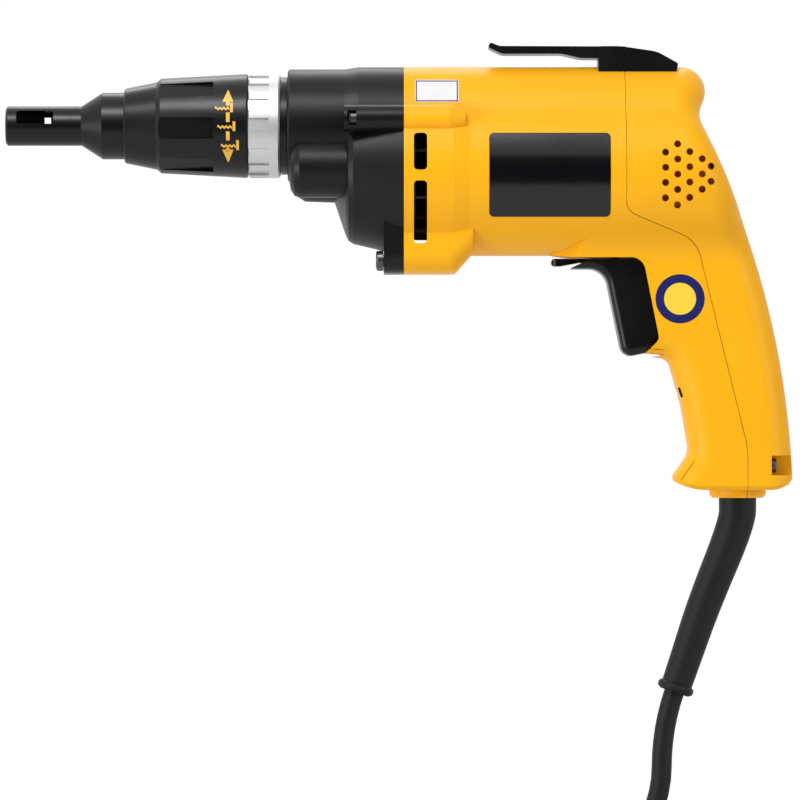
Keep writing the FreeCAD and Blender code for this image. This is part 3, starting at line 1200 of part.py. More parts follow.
screws("cord_clamp_screws", screw(2.4, 1.8, 1.25, 18),
       [(CLAMP_BACK, s * CLAMP_SPREAD, CLAMP_HEIGHT) for s in (-1, 1)], FreeCAD.Rotation(V(0, 0, 1), 180))
leads = [bar_z(1.3, CORE_TOP, 10, CORD_EXIT, s * 2.2) for s in (-1, 1)]
shape_node("lead_wires", Part.makeCompound(leads))


def free_path(spots):
    """Straight runs joined by the widest arcs that fit."""
    corners = [tuple(spots[0])]
    for before, spot, after in zip(spots, spots[1:], spots[2:]):
        first, last = V(*before).sub(V(*spot)), V(*after).sub(V(*spot))
        half = (math.pi - first.getAngle(last)) / 2
        corners.append(tuple(spot) + (0.45 * min(first.Length, last.Length) / math.tan(half),))
    corners.append(tuple(spots[-1]))
    flat = [(c[0], c[2]) + tuple(c[3:]) for c in corners]
    return rounded_outline(flat, closed=False)


CORD_DROP = -24.7
COIL_ENTRY = -48.0
COIL_HEIGHT = -254.4
CORD_SIDES = 6
cord_dia = 2 * number("cord_radius")
run = (CORD_DROP - relief_end.x) / relief_slope.x
bend = relief_end + relief_slope * run
cord_spots = [(relief_end.x, 0, relief_end.z), (bend.x, 0, bend.z), (CORD_DROP, 0, -178.5),
              (COIL_ENTRY, 0, -216), (COIL_ENTRY, 0, COIL_HEIGHT + cord_dia)]
cord_edges = free_path(cord_spots)
cord_shape = tube_along(cord_edges, number("cord_radius"), CORD_SIDES)
shape_node("cord", cord_shape)

pitch = cord_dia + number("coil_gap")
turns = int(number("coil_turns"))
spot = V(COIL_ENTRY, 0, COIL_HEIGHT)
coil_edges = [Part.LineSegment(spot + V(0, 0, cord_dia), spot).toShape()]
radius = number("coil_radius")
heading = 1
for k in range(2 * turns):
    end = spot + V(heading * 2 * radius, 0, 0)
    coil_edges.append(half_turn(spot, end, heading > 0))
    spot, heading, radius = end, -heading, radius - pitch / 2
end = spot + V(heading * 2 * radius, pitch, 0)
coil_edges.append(half_turn(spot, end, heading > 0))
spot, heading, radius = end, -heading, radius + pitch / 2
for k in range(2 * turns):
    end = spot + V(heading * 2 * radius, 0, 0)
    coil_edges.append(half_turn(spot, end, heading > 0))
    spot, heading, radius = end, -heading, radius + pitch / 2
TAIL_OFFSET = 19.0
end = V(COIL_ENTRY - TAIL_OFFSET, spot.y, COIL_HEIGHT)
coil_edges.append(half_turn(spot, end, heading > 0))
tail_end = end - V(0, 0, cord_dia)
coil_edges.append(Part.LineSegment(end, tail_end).toShape())
coil_shape = tube_along(coil_edges, number("cord_radius"), CORD_SIDES)
shape_node("cord_coil", coil_shape)

section = CORD_SIDES / 2 * math.sin(2 * math.pi / CORD_SIDES) * number("cord_radius") ** 2
for label, edges, tube in (("cord", cord_edges, cord_shape), ("cord_coil", coil_edges, coil_shape)):
    length = sum(e.Length for e in edges)
    bends = [round(e.Curve.Radius, 1) for e in edges if hasattr(e.Curve, "Radius")]
    ratio = tube.Volume / (section * length)
    print(label, "length", round(length, 1), "volume ratio", round(ratio, 4), "radii", bends)
trail = [(k, p) for k, e in enumerate(coil_edges) for p in e.discretize(Number=40)]
least = min((p - q).Length for j, p in trail for k, q in trail if k > j + 1)
print("cord_coil least gap to itself", round(least - cord_dia, 2))

plug_neck = Part.makeCone(5.4, 7.0, 14, tail_end, V(0, 0, -1))
PLUG_LOW = tail_end.z - 38
PLUG_TOP = tail_end.z - 13
BLADE_LOW = tail_end.z - 55.5
plug_block = box(tail_end.x - 11, tail_end.x + 11, tail_end.y - 7.5, tail_end.y + 7.5, PLUG_LOW, PLUG_TOP)
plug_block = plug_block.makeChamfer(3, [e for e in plug_block.Edges if e.BoundBox.ZLength > 20])
shape_node("plug_body", plug_neck.fuse(plug_block).removeSplitter())
blades_pair = []
for side in (-1, 1):
    middle = tail_end.x + side * 6.35
    blades_pair.append(box(middle - 0.75, middle + 0.75, tail_end.y - 3.2, tail_end.y + 3.2,
                           BLADE_LOW, PLUG_LOW))
shape_node("plug_blades", Part.makeCompound(blades_pair))

outer_top = number("coil_radius") - pitch / 2
inner_top = outer_top - (turns - 1) * pitch
TIE_HALF = 7.0
TIE_WALL = 1.4
sag = TIE_HALF ** 2 / (2 * inner_top)
tie_x = COIL_ENTRY + number("coil_radius")
reach = number("cord_radius") + 0.5
band_in = box(tie_x - TIE_HALF - 1, tie_x + TIE_HALF + 1, -reach, pitch + reach,
              COIL_HEIGHT + inner_top - reach - sag - 0.6, COIL_HEIGHT + outer_top + reach)
low, high = band_in.BoundBox.ZMin - TIE_WALL, band_in.BoundBox.ZMax + TIE_WALL
band_out = box(tie_x - TIE_HALF, tie_x + TIE_HALF, -reach - TIE_WALL, pitch + reach + TIE_WALL, low, high)
band_out = soften(band_out, 1.3, lambda e: e.BoundBox.XLength > 10)
shape_node("cord_tie", band_out.cut(band_in))


# Check every piece, then write one file for each.

doc.recompute()
for item in doc.Objects:
    bad = [word for word in item.State if word in ("Invalid", "Error")]
    if bad:
        raise RuntimeError(f"{item.Label}: {bad}")
for item in NODES:
    if item.Shape.isNull() or not item.Shape.isValid() or item.Shape.Volume <= 0:
        raise RuntimeError(f"{item.Label}: no sound shape")
os.makedirs("parts", exist_ok=True)
for item in NODES:
    item.Shape.exportStep(f"parts/{item.Label}.step")
print(len(NODES), "pieces")
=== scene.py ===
"""Finishes, labels, supply cord and studio for a corded drywall screwdriver."""
import math

import bmesh
import bpy
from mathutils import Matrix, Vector


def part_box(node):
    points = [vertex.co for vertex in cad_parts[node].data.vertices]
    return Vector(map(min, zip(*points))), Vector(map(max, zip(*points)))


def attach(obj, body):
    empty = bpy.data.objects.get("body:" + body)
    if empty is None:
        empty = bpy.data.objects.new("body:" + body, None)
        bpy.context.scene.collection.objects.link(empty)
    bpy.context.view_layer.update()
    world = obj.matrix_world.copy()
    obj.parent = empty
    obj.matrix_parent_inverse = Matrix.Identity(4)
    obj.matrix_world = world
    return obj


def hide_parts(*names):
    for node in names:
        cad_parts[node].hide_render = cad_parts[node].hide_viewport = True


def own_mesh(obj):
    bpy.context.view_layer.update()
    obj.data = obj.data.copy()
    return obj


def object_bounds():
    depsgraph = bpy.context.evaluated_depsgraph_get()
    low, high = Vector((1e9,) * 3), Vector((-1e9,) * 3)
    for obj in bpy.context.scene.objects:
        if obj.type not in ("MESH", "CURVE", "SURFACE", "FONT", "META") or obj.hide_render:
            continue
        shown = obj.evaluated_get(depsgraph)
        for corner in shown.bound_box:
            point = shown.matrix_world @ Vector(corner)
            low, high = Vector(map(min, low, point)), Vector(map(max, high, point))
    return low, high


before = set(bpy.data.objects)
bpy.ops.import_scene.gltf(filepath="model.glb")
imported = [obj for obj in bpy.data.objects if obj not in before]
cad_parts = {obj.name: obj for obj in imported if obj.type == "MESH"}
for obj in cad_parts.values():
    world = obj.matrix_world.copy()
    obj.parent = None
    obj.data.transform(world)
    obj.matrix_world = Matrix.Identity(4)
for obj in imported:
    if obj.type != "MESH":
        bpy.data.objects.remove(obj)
CAD_BOX = [list(corner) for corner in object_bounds()]

bl_info = {
    "name": "Drywall screwdriver",
    "version": (1, 0, 0),
    "blender": (4, 5, 0),
    "location": "View3D > Sidebar > Screwdriver",
    "description": "Dresses the screwdriver's solids with finishes, labels, a cord and a studio",
    "category": "Object",
}

MM = 0.001
HAIR = 0.01 * MM


def colour_prop(title, note, default):
    return bpy.props.FloatVectorProperty(name=title, description=note, subtype="COLOR", size=3,
                                         min=0.0, max=1.0, default=default)


def length_prop(title, note, default):
    return bpy.props.FloatProperty(name=title, description=note, unit="LENGTH", precision=5, default=default)


class ScrewdriverColours(bpy.types.PropertyGroup):
    """Colours of the finishes."""
    shell: colour_prop("Shell", "Moulded housing and handle cover", (0.93, 0.44, 0.008))
    plastic: colour_prop("Black plastic", "Nosepiece, collar, trigger and hook", (0.0045, 0.0045, 0.0048))
    casting: colour_prop("Gear case", "Painted gear case casting", (0.0045, 0.0045, 0.0048))
    gloss: colour_prop("Badge", "Polished side plate", (0.004, 0.004, 0.005))
    rubber: colour_prop("Rubber", "Cord and strain relief", (0.0075, 0.0075, 0.008))
    aluminium: colour_prop("Aluminium", "Bare lock ring and bearing plate", (0.66, 0.66, 0.665))
    sign: colour_prop("Sign", "Printed depth arrow", (0.80, 0.44, 0.05))
    label_paper: colour_prop("Label", "Bare label paper", (0.78, 0.78, 0.80))
    label_ink: colour_prop("Label ink", "Ring and border of the labels", (0.018, 0.020, 0.12))
    label_centre: colour_prop("Label centre", "Middle of the round label", (0.90, 0.62, 0.06))
    dark_steel: colour_prop("Dark steel", "Screws and bit holder", (0.10, 0.10, 0.105))
    bright_steel: colour_prop("Bright steel", "Spindle, gear, shaft, bearings, springs", (0.58, 0.58, 0.60))
    iron: colour_prop("Iron", "Motor cores", (0.24, 0.24, 0.25))
    copper: colour_prop("Copper", "Windings, commutator and leads", (0.72, 0.31, 0.15))
    bronze: colour_prop("Bronze", "Bushes, brush holders and plug blades", (0.52, 0.33, 0.13))
    carbon: colour_prop("Carbon", "Brushes", (0.02, 0.02, 0.021))


class ScrewdriverSizes(bpy.types.PropertyGroup):
    """Sizes of the pieces made here."""
    cord_diameter: length_prop("Cord diameter", "Outside of the supply cord", 8.4 * MM)
    cord_length: length_prop("Cord length", "Strain relief to plug", 2.29)
    coil_radius: length_prop("Coil radius", "Largest middle radius of the stored turns", 60 * MM)
    coil_pitch: length_prop("Coil pitch", "Step from one stored turn to the next", 9 * MM)
    coil_turns: bpy.props.IntProperty(name="Coil turns", description="Turns in each layer", default=3, min=1)
    label_width: length_prop("Label width", "Rectangular label along the tool", 17.7 * MM)
    label_height: length_prop("Label height", "Rectangular label across the tool", 9.4 * MM)
    round_label: length_prop("Round label", "Diameter of the grip label", 20 * MM)
    film: length_prop("Label film", "Thickness of labels and prints", 0.08 * MM)
    view_width: length_prop("View width", "Width that the camera sees at the tool", 0.328)
    view_distance: length_prop("View distance", "Camera to the middle of the tool", 2.4)


def colours():
    return bpy.context.scene.screwdriver_colours


def sizes():
    return bpy.context.scene.screwdriver_sizes


# Shader values: sums on a strand add math nodes.


class Strand:
    """A value on its way through a finish."""

    def __init__(self, tree, socket):
        self.tree = tree
        self.socket = socket

    def through(self, kind, settings=None, inputs=None, out=0):
        """Adds any other node and gives one of its outputs."""
        node = self.tree.nodes.new(kind)
        for name, value in (settings or {}).items():
            setattr(node, name, value)
        for key, value in (inputs or {}).items():
            self.feed(node.inputs[key], value)
        return Strand(self.tree, node.outputs[out])

    def feed(self, plug, value):
        """Links a strand to an input, or sets a plain value there."""
        if isinstance(value, Strand):
            self.tree.links.new(value.socket, plug)
        else:
            plug.default_value = value

    def calc(self, operation, first, second=0.0):
        """Adds one math node."""
        return self.through("ShaderNodeMath", {"operation": operation}, {0: first, 1: second})

    def __add__(self, other):
        return self.calc("ADD", self, other)

    def __sub__(self, other):
        return self.calc("SUBTRACT", self, other)

    def __rsub__(self, other):
        return self.calc("SUBTRACT", other, self)

    def __mul__(self, other):
        return self.calc("MULTIPLY", self, other)

    def __gt__(self, other):
        return self.calc("GREATER_THAN", self, other)

    def __lt__(self, other):
        return self.calc("LESS_THAN", self, other)

    def __abs__(self):
        return self.calc("ABSOLUTE", self)

    __radd__ = __add__
    __rmul__ = __mul__


def shade(colour, factor):
    """A colour made darker or lighter, with its alpha."""
    return tuple(min(1.0, c * factor) for c in colour) + (1.0,)


def blended(strand, factor, low, high):
    """A colour between two colours."""
    return strand.through("ShaderNodeMix", {"data_type": "RGBA"}, {0: factor, 6: low, 7: high}, out=2)


def clouds(place, scale, detail=3.0):
    """Soft noise from 0 to 1."""
    return place.through("ShaderNodeTexNoise", {}, {"Vector": place, "Scale": scale, "Detail": detail})


def stretched(place, scale):
    """Places drawn out along the three axes."""
    return place.through("ShaderNodeVectorMath", {"operation": "MULTIPLY"}, {0: place, 1: scale})


def swing(noise, spread):
    """Noise made to swing evenly about zero."""
    return (noise - 0.5) * spread


def new_finish(name, constants):
    """A finish with its shader, and the strand of places in the piece."""
    finish = bpy.data.materials.new(name)
    finish.use_nodes = True
    tree = finish.node_tree
    shader = next(n for n in tree.nodes if n.type == "BSDF_PRINCIPLED")
    for key, value in constants.items():
        shader.inputs[key].default_value = value
    source = tree.nodes.new("ShaderNodeTexCoord")
    return finish, shader, Strand(tree, source.outputs["Object"])


BUMP_STRENGTH = 0.35


def surface(shader, place, colour, rough, height, depth):
    """Feeds colour, roughness and a fine relief into a shader."""
    place.feed(shader.inputs["Base Color"], colour)
    place.feed(shader.inputs["Roughness"], rough)
    relief = place.through("ShaderNodeBump", {},
                           {"Height": height, "Strength": BUMP_STRENGTH, "Distance": depth})
    place.feed(shader.inputs["Normal"], relief)


def moulded(name, colour, rough, specular=0.5, grain=1400.0, depth=0.02 * MM, tint=0.05):
    """Moulded plastic: faint flow clouds in the colour and a fine grain."""
    finish, shader, place = new_finish(name, {"Specular IOR Level": specular})
    flow = clouds(place, scale=38.0)
    fine = clouds(place, scale=grain, detail=2.0)
    mixed = blended(place, flow, shade(colour, 1 - tint), shade(colour, 1 + tint))
    surface(shader, place, mixed, rough + swing(flow, 0.16) + swing(fine, 0.08), fine, depth)
    return finish


def rubbery(name, colour):
    """Soft black rubber: dull, with dusty patches and fine pits."""
    finish, shader, place = new_finish(name, {"Specular IOR Level": 0.22})
    dust = clouds(place, scale=55.0, detail=4.0)
    pits = clouds(place, scale=2400.0, detail=2.0)
    mixed = blended(place, dust, shade(colour, 0.8), shade(colour, 1.5))
    surface(shader, place, mixed, 0.46 + dust * 0.16, pits, 0.03 * MM)
    return finish


def metal(name, colour, rough, lines=(1.0, 1.0, 1.0), scale=900.0, spread=0.2, depth=0.015 * MM):
    """Metal with tool marks; lines stretches the marks along the three axes."""
    finish, shader, place = new_finish(name, {"Metallic": 1.0})
    marks = clouds(stretched(place, lines), scale, detail=2.0)
    stain = clouds(place, scale=60.0, detail=4.0)
    mixed = blended(place, stain, shade(colour, 1 - spread / 2), shade(colour, 1 + spread / 2))
    surface(shader, place, mixed, rough + swing(marks, spread) + swing(stain, 0.1), marks, depth)
    return finish


def painted(name, colour):
    """Die casting under satin black paint: orange peel and rubbed patches."""
    finish, shader, place = new_finish(name, {"Specular IOR Level": 0.24})
    peel = clouds(place, scale=520.0, detail=2.0)
    rub = clouds(place, scale=45.0, detail=4.0)
    mixed = blended(place, rub, shade(colour, 0.85), shade(colour, 1.35))
    surface(shader, place, mixed, 0.38 + swing(rub, 0.18), peel, 0.03 * MM)
    return finish


def make_finishes():
    """One finish for each of the tool's materials."""
    c = colours()
    turned_marks = (1.0, 0.02, 0.02)
    wire_marks = (0.1, 1.0, 1.0)
    return {
        "yellow_shell": moulded("yellow_shell", c.shell, rough=0.4, specular=0.18, tint=0.03),
        "black_plastic": moulded("black_plastic", c.plastic, rough=0.3, specular=0.28, grain=1100.0,
                                 tint=0.2),
        "black_gloss": moulded("black_gloss", c.gloss, rough=0.2, specular=0.45, grain=700.0,
                               depth=0.006 * MM, tint=0.3),
        "black_case": painted("black_case", c.casting),
        "bare_aluminium": metal("bare_aluminium", c.aluminium, rough=0.48, lines=turned_marks, scale=2600.0,
                                spread=0.16),
        "dark_steel": metal("dark_steel", c.dark_steel, rough=0.36, spread=0.25),
        "bright_steel": metal("bright_steel", c.bright_steel, rough=0.26, lines=turned_marks, scale=2600.0,
                              spread=0.16),
        "iron": metal("iron", c.iron, rough=0.46, lines=turned_marks, scale=4200.0, spread=0.3),
        "copper": metal("copper", c.copper, rough=0.34, lines=wire_marks, scale=2600.0, spread=0.3),
        "bronze": metal("bronze", c.bronze, rough=0.42, spread=0.25),
        "carbon": rubbery("carbon", c.carbon),
        "black_rubber": rubbery("black_rubber", c.rubber),
    }


def finish_of(slot):
    """The finish made for a slot."""
    found = bpy.data.materials.get("made_" + slot)
    if found is None:
        raise RuntimeError(f"the finish {slot} isn't made yet")
    return found


# Modelling by hand: select, shape, apply.


def only(*pieces):
    """Selects these pieces alone and makes the first active."""
    bpy.ops.object.select_all(action="DESELECT")
    for piece in pieces:
        piece.select_set(True)
    bpy.context.view_layer.objects.active = pieces[0]


def clear():
    """Selects nothing."""
    bpy.ops.object.select_all(action="DESELECT")
    bpy.context.view_layer.objects.active = None


def named(name):
    """Names the active piece and its mesh."""
    piece = bpy.context.object
    piece.name = name
    piece.data.name = name
    return piece


def settle(piece):
    """Puts a piece's place into its mesh."""
    only(piece)
    bpy.ops.object.transform_apply(location=True, rotation=True, scale=True)
    return piece


def applied(piece, kind, **settings):
    """Adds a modifier and applies it."""
    only(piece)
    change = piece.modifiers.new(kind.title(), kind)
    for name, value in settings.items():
        setattr(change, name, value)
    bpy.ops.object.modifier_apply(modifier=change.name)
    return piece


# A unit normal that reaches this far along an axis faces it, or lies square to it.
FACING = 0.9
SQUARE = 0.99


def pick_faces(piece, test):
    """Selects the faces in edit mode whose middle and normal pass the test."""
    mesh = bmesh.from_edit_mesh(piece.data)
    mesh.select_mode = {"FACE"}
    for face in mesh.faces:
        face.select_set(bool(test(face.calc_center_median(), face.normal)))
    mesh.select_flush_mode()
    bmesh.update_edit_mesh(piece.data)


def pick_points(piece, test):
    """Selects the points in edit mode whose place passes the test."""
    mesh = bmesh.from_edit_mesh(piece.data)
    mesh.select_mode = {"VERT"}
    for point in mesh.verts:
        point.select_set(bool(test(point.co)))
    mesh.select_flush_mode()
    bmesh.update_edit_mesh(piece.data)


def editing(piece):
    """Enters edit mode on one piece, set to faces."""
    only(piece)
    bpy.ops.object.mode_set(mode="EDIT")
    bpy.context.tool_settings.mesh_select_mode = (False, False, True)


def done_editing():
    bpy.ops.object.mode_set(mode="OBJECT")


def joined(name, pieces):
    """Joins pieces into one."""
    only(*pieces)
    bpy.ops.object.join()
    return named(name)


def smooth(piece, angle=35.0):
    """Shades a piece smooth, with edges sharper than an angle in degrees left sharp."""
    only(piece)
    bpy.ops.object.shade_smooth_by_angle(angle=math.radians(angle))
    return piece


def subdivided(piece, cuts):
    """Cuts every face of a piece into smaller ones."""
    editing(piece)
    bpy.ops.mesh.select_all(action="SELECT")
    bpy.ops.mesh.subdivide(number_cuts=cuts)
    done_editing()
    return piece


UPRIGHT = (math.pi / 2, 0.0, 0.0)


def upright_sheet(name, middle, width, height):
    """A flat sheet that faces the near side."""
    clear()
    bpy.ops.mesh.primitive_plane_add(size=1.0, location=middle, rotation=UPRIGHT)
    piece = named(name)
    piece.scale = (width, height, 1.0)
    return settle(piece)


def dress(piece, finish, body):
    """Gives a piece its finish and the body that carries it."""
    piece.data.materials.clear()
    piece.data.materials.append(finish)
    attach(piece, body)
    return piece


IN_FRONT = -45.0
FILM_SHARE = 0.6


def laid_on(piece, node, film):
    """Lays a flat piece that stands in front of the tool onto a node's surface."""
    applied(piece, "SHRINKWRAP", target=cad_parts[node], wrap_method="PROJECT", use_project_x=False,
            use_project_y=True, use_project_z=False, use_positive_direction=True,
            use_negative_direction=False, wrap_mode="ABOVE_SURFACE", offset=film)
    return applied(piece, "SOLIDIFY", thickness=film * FILM_SHARE, offset=-1.0)


# Pieces.


class SCREWDRIVER_OT_finishes(bpy.types.Operator):
    """Gives every solid of the tool its finish"""
    bl_idname = "screwdriver.finishes"
    bl_label = "Finishes"

    def execute(self, context):
        names = {n: o.data.materials[0].name for n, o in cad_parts.items()}
        made = make_finishes()
        for slot, finish in made.items():
            finish.name = "made_" + slot
        for node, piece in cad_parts.items():
            slot = names[node].split(".")[0]
            if slot not in made:
                raise RuntimeError(f"{node} has an unknown finish {slot}")
            piece.data.materials.clear()
            piece.data.materials.append(made[slot])
        return {"FINISHED"}


CORD_ROUTE = [(-19.6, -132.0), (-24.7, -147.1), (-24.7, -178.5), (-48.0, -216.0), (-48.0, -246.0)]
COIL_ENTRY = -48.0 * MM
COIL_HEIGHT = -254.4 * MM
TAIL_OFFSET = 19.0 * MM
TAIL_LEAD = 7.0 * MM
HALF_POINTS = 8
CURVE_STEPS = 6
ROUND_STEPS = 5


def side_points(route):
    """Places in the middle plane from stations and heights in millimetres."""
    return [Vector((x * MM, 0.0, z * MM)) for x, z in route]


def half_turn(start, end, heading, points):
    """Control points of a half circle that stands upright between two level points."""
    step = math.pi / points
    middle = (start + end) / 2
    reach = abs(end.x - start.x) / 2 / math.cos(step / 2)
    spots = []
    for k in range(points):
        turn = (k + 0.5) * step
        across = start.y + (end.y - start.y) * (k + 0.5) / points
        spots.append(Vector((middle.x - heading * reach * math.cos(turn), across,
                             middle.z - heading * reach * math.sin(turn))))
    return spots


def coil_points():
    """The stored turns: one layer winds in, a climb, and one layer winds out."""
    s = sizes()
    spot = Vector((COIL_ENTRY, 0.0, COIL_HEIGHT))
    heading, radius = 1, s.coil_radius
    steps = [(-s.coil_pitch / 2, 0.0)] * (2 * s.coil_turns)
    steps += [(s.coil_pitch / 2, s.coil_pitch)]
    steps += [(s.coil_pitch / 2, 0.0)] * (2 * s.coil_turns)
    spots = []
    for growth, rise in steps:
        end = spot + Vector((heading * 2 * radius, rise, 0.0))
        spots += half_turn(spot, end, heading, HALF_POINTS)
        spot, heading, radius = end, -heading, radius + growth
    end = Vector((COIL_ENTRY - TAIL_OFFSET, spot.y, COIL_HEIGHT))
    spots += half_turn(spot, end, heading, HALF_POINTS)
    return spots, end - Vector((0.0, 0.0, s.cord_diameter))


def tube(name, spots, thickness, radii=None):
    """A smooth round tube through control points."""
    clear()
    line = bpy.data.curves.new(name, "CURVE")
    line.dimensions = "3D"
    spline = line.splines.new("NURBS")
    spline.points.add(len(spots) - 1)
    for k, spot in enumerate(spots):
        spline.points[k].co = (*spot, 1.0)
        spline.points[k].radius = radii[k] if radii else 1.0
    spline.order_u = 3
    spline.use_endpoint_u = True
    spline.resolution_u = CURVE_STEPS
    line.bevel_depth = thickness / 2
    line.bevel_resolution = ROUND_STEPS
    line.use_fill_caps = True
    piece = bpy.data.objects.new(name, line)
    bpy.context.scene.collection.objects.link(piece)
    return piece


class SCREWDRIVER_OT_cord(bpy.types.Operator):
    """Runs the supply cord from the strain relief into its tied coil"""
    bl_idname = "screwdriver.cord"
    bl_label = "Supply cord"

    def execute(self, context):
        s = sizes()
        turns, tail = coil_points()
        into_plug = [tail + Vector((0.0, 0.0, TAIL_LEAD)), tail]
        piece = tube("supply_cord", side_points(CORD_ROUTE) + turns + into_plug, s.cord_diameter)
        dress(piece, finish_of("black_rubber"), "housing")
        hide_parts("cord", "cord_coil")
        return {"FINISHED"}


RELIEF_ROUTE = [(6.4, -42.0), (6.4, -52.6), (6.4, -62.2), (-7.4, -95.9), (-14.6, -117.4), (-19.6, -132.0)]
RELIEF_RADII = [7.7, 7.7, 7.55, 7.0, 6.5, 6.25]
UNIT_TUBE = 2 * MM
RELIEF_STEPS = 12
FLANGE_RADIUS = 7.5 * MM
FLANGE_DEPTH = 3.4 * MM
FLANGE_SETBACK = 2.0 * MM
FLANGE_EDGE = 1.3 * MM


class SCREWDRIVER_OT_relief(bpy.types.Operator):
    """Moulds the tapered strain relief with its end flange"""
    bl_idname = "screwdriver.relief"
    bl_label = "Strain relief"

    def execute(self, context):
        spots = side_points(RELIEF_ROUTE)
        boot = tube("relief_boot", spots, UNIT_TUBE, RELIEF_RADII)
        boot.data.bevel_resolution = RELIEF_STEPS
        boot.data.splines[0].resolution_u = RELIEF_STEPS
        only(boot)
        bpy.ops.object.convert(target="MESH")
        slope = (spots[-1] - spots[-2]).normalized()
        clear()
        bpy.ops.mesh.primitive_cylinder_add(vertices=48, radius=FLANGE_RADIUS, depth=FLANGE_DEPTH,
                                            end_fill_type="NGON", location=spots[-1] - slope * FLANGE_SETBACK,
                                            rotation=slope.to_track_quat("Z", "Y").to_euler())
        flange = settle(named("relief_flange"))
        applied(flange, "BEVEL", width=FLANGE_EDGE, segments=4, limit_method="ANGLE")
        piece = smooth(joined("relief_boot", [boot, flange]))
        dress(piece, finish_of("black_rubber"), "housing")
        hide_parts("strain_relief")
        return {"FINISHED"}


PLUG_SIZE = Vector((22.0, 15.0, 25.0)) * MM
PLUG_DROP = Vector((0.0, 0.0, 25.5)) * MM
PANEL_MARGIN = 2.6 * MM
PANEL_SLOPE = 0.5 * MM
PANEL_DEPTH = 0.7 * MM
SHOULDER_WIDTH = 1.6 * MM
SHOULDER_RISE = 1.2 * MM
NECK_STEPS = ((5.4 * MM, (0.62, 0.95, 1.0)), (6.6 * MM, (0.88, 0.88, 1.0)))
PLUG_EDGE = 1.1 * MM
PLUG_EDGE_ANGLE = math.radians(25)


class SCREWDRIVER_OT_plug(bpy.types.Operator):
    """Moulds the plug body round its two blades"""
    bl_idname = "screwdriver.plug"
    bl_label = "Plug"

    def execute(self, context):
        tail = coil_points()[1]
        clear()
        bpy.ops.mesh.primitive_cube_add(size=1.0, location=tail - PLUG_DROP)
        piece = named("cord_plug")
        piece.scale = PLUG_SIZE
        settle(piece)
        top = max(v.co.z for v in piece.data.vertices)
        editing(piece)
        pick_faces(piece, lambda middle, normal: abs(normal.x) > FACING or abs(normal.y) > FACING)
        bpy.ops.mesh.inset(thickness=PANEL_MARGIN, depth=0.0, use_individual=True)
        bpy.ops.mesh.inset(thickness=PANEL_SLOPE, depth=-PANEL_DEPTH, use_individual=True)
        pick_faces(piece, lambda middle, normal: normal.z > FACING and middle.z > top - HAIR)
        bpy.ops.mesh.inset(thickness=SHOULDER_WIDTH, depth=SHOULDER_RISE)
        for rise, narrowing in NECK_STEPS:
            bpy.ops.mesh.extrude_region_move(TRANSFORM_OT_translate={"value": (0.0, 0.0, rise)})
            bpy.ops.transform.resize(value=narrowing)
        done_editing()
        applied(piece, "BEVEL", width=PLUG_EDGE, segments=3, limit_method="ANGLE",
                angle_limit=PLUG_EDGE_ANGLE)
        applied(piece, "SUBSURF", levels=1, render_levels=1)
        smooth(piece, angle=50.0)
        dress(piece, finish_of("black_rubber"), "housing")
        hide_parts("plug_body")
        return {"FINISHED"}


TIE_ROUND = 2.2 * MM
TIE_WALL = 1.1 * MM
TIE_EDGE = 0.3 * MM
TIE_EDGE_ANGLE = math.radians(60)


class SCREWDRIVER_OT_tie(bpy.types.Operator):
    """Wraps the strap that holds the stored turns"""
    bl_idname = "screwdriver.tie"
    bl_label = "Coil tie"

    def execute(self, context):
        low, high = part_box("cord_tie")
        clear()
        bpy.ops.mesh.primitive_cube_add(size=1.0, location=(low + high) / 2)
        piece = named("coil_tie")
        piece.scale = high - low
        settle(piece)
        editing(piece)
        pick_faces(piece, lambda middle, normal: abs(normal.x) > FACING)
        bpy.ops.mesh.delete(type="FACE")
        bpy.ops.mesh.select_all(action="SELECT")
        bpy.ops.mesh.subdivide(number_cuts=3)
        done_editing()
        applied(piece, "BEVEL", width=TIE_ROUND, segments=4, limit_method="ANGLE")
        applied(piece, "SOLIDIFY", thickness=TIE_WALL, offset=-1.0)
        applied(piece, "BEVEL", width=TIE_EDGE, segments=2, limit_method="ANGLE", angle_limit=TIE_EDGE_ANGLE)
        smooth(piece, angle=40.0)
        finish, shader, place = new_finish("made_strap", {"Specular IOR Level": 0.2, "Sheen Weight": 0.3})
        weave = clouds(stretched(place, (1.0, 0.35, 0.35)), scale=3200.0, detail=1.0)
        loops = clouds(place, scale=900.0)
        mixed = blended(place, loops, shade(colours().rubber, 0.7), shade(colours().rubber, 2.2))
        surface(shader, place, mixed, 0.7 + weave * 0.2, weave, 0.12 * MM)
        dress(piece, finish, "housing")
        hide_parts("cord_tie")
        return {"FINISHED"}


LABEL_MIDDLE = Vector((-117.05, IN_FRONT, 113.4)) * MM
LABEL_CORNER = 0.8 * MM
BORDER_OUTER = 0.3 * MM
BORDER_INNER = 0.75 * MM
ROUND_MIDDLE = Vector((-18.0, IN_FRONT, 28.9)) * MM
CENTRE_SHARE = 0.325
LABEL_SPECULAR = 0.06


def from_middle(place, middle):
    """Places along and up from a label's middle."""
    parts = {}
    for axis, name in ((0, "X"), (2, "Z")):
        value = place.through("ShaderNodeSeparateXYZ", {}, {0: place}, out=axis)
        parts[name] = value - middle[axis]
    return parts["X"], parts["Z"]


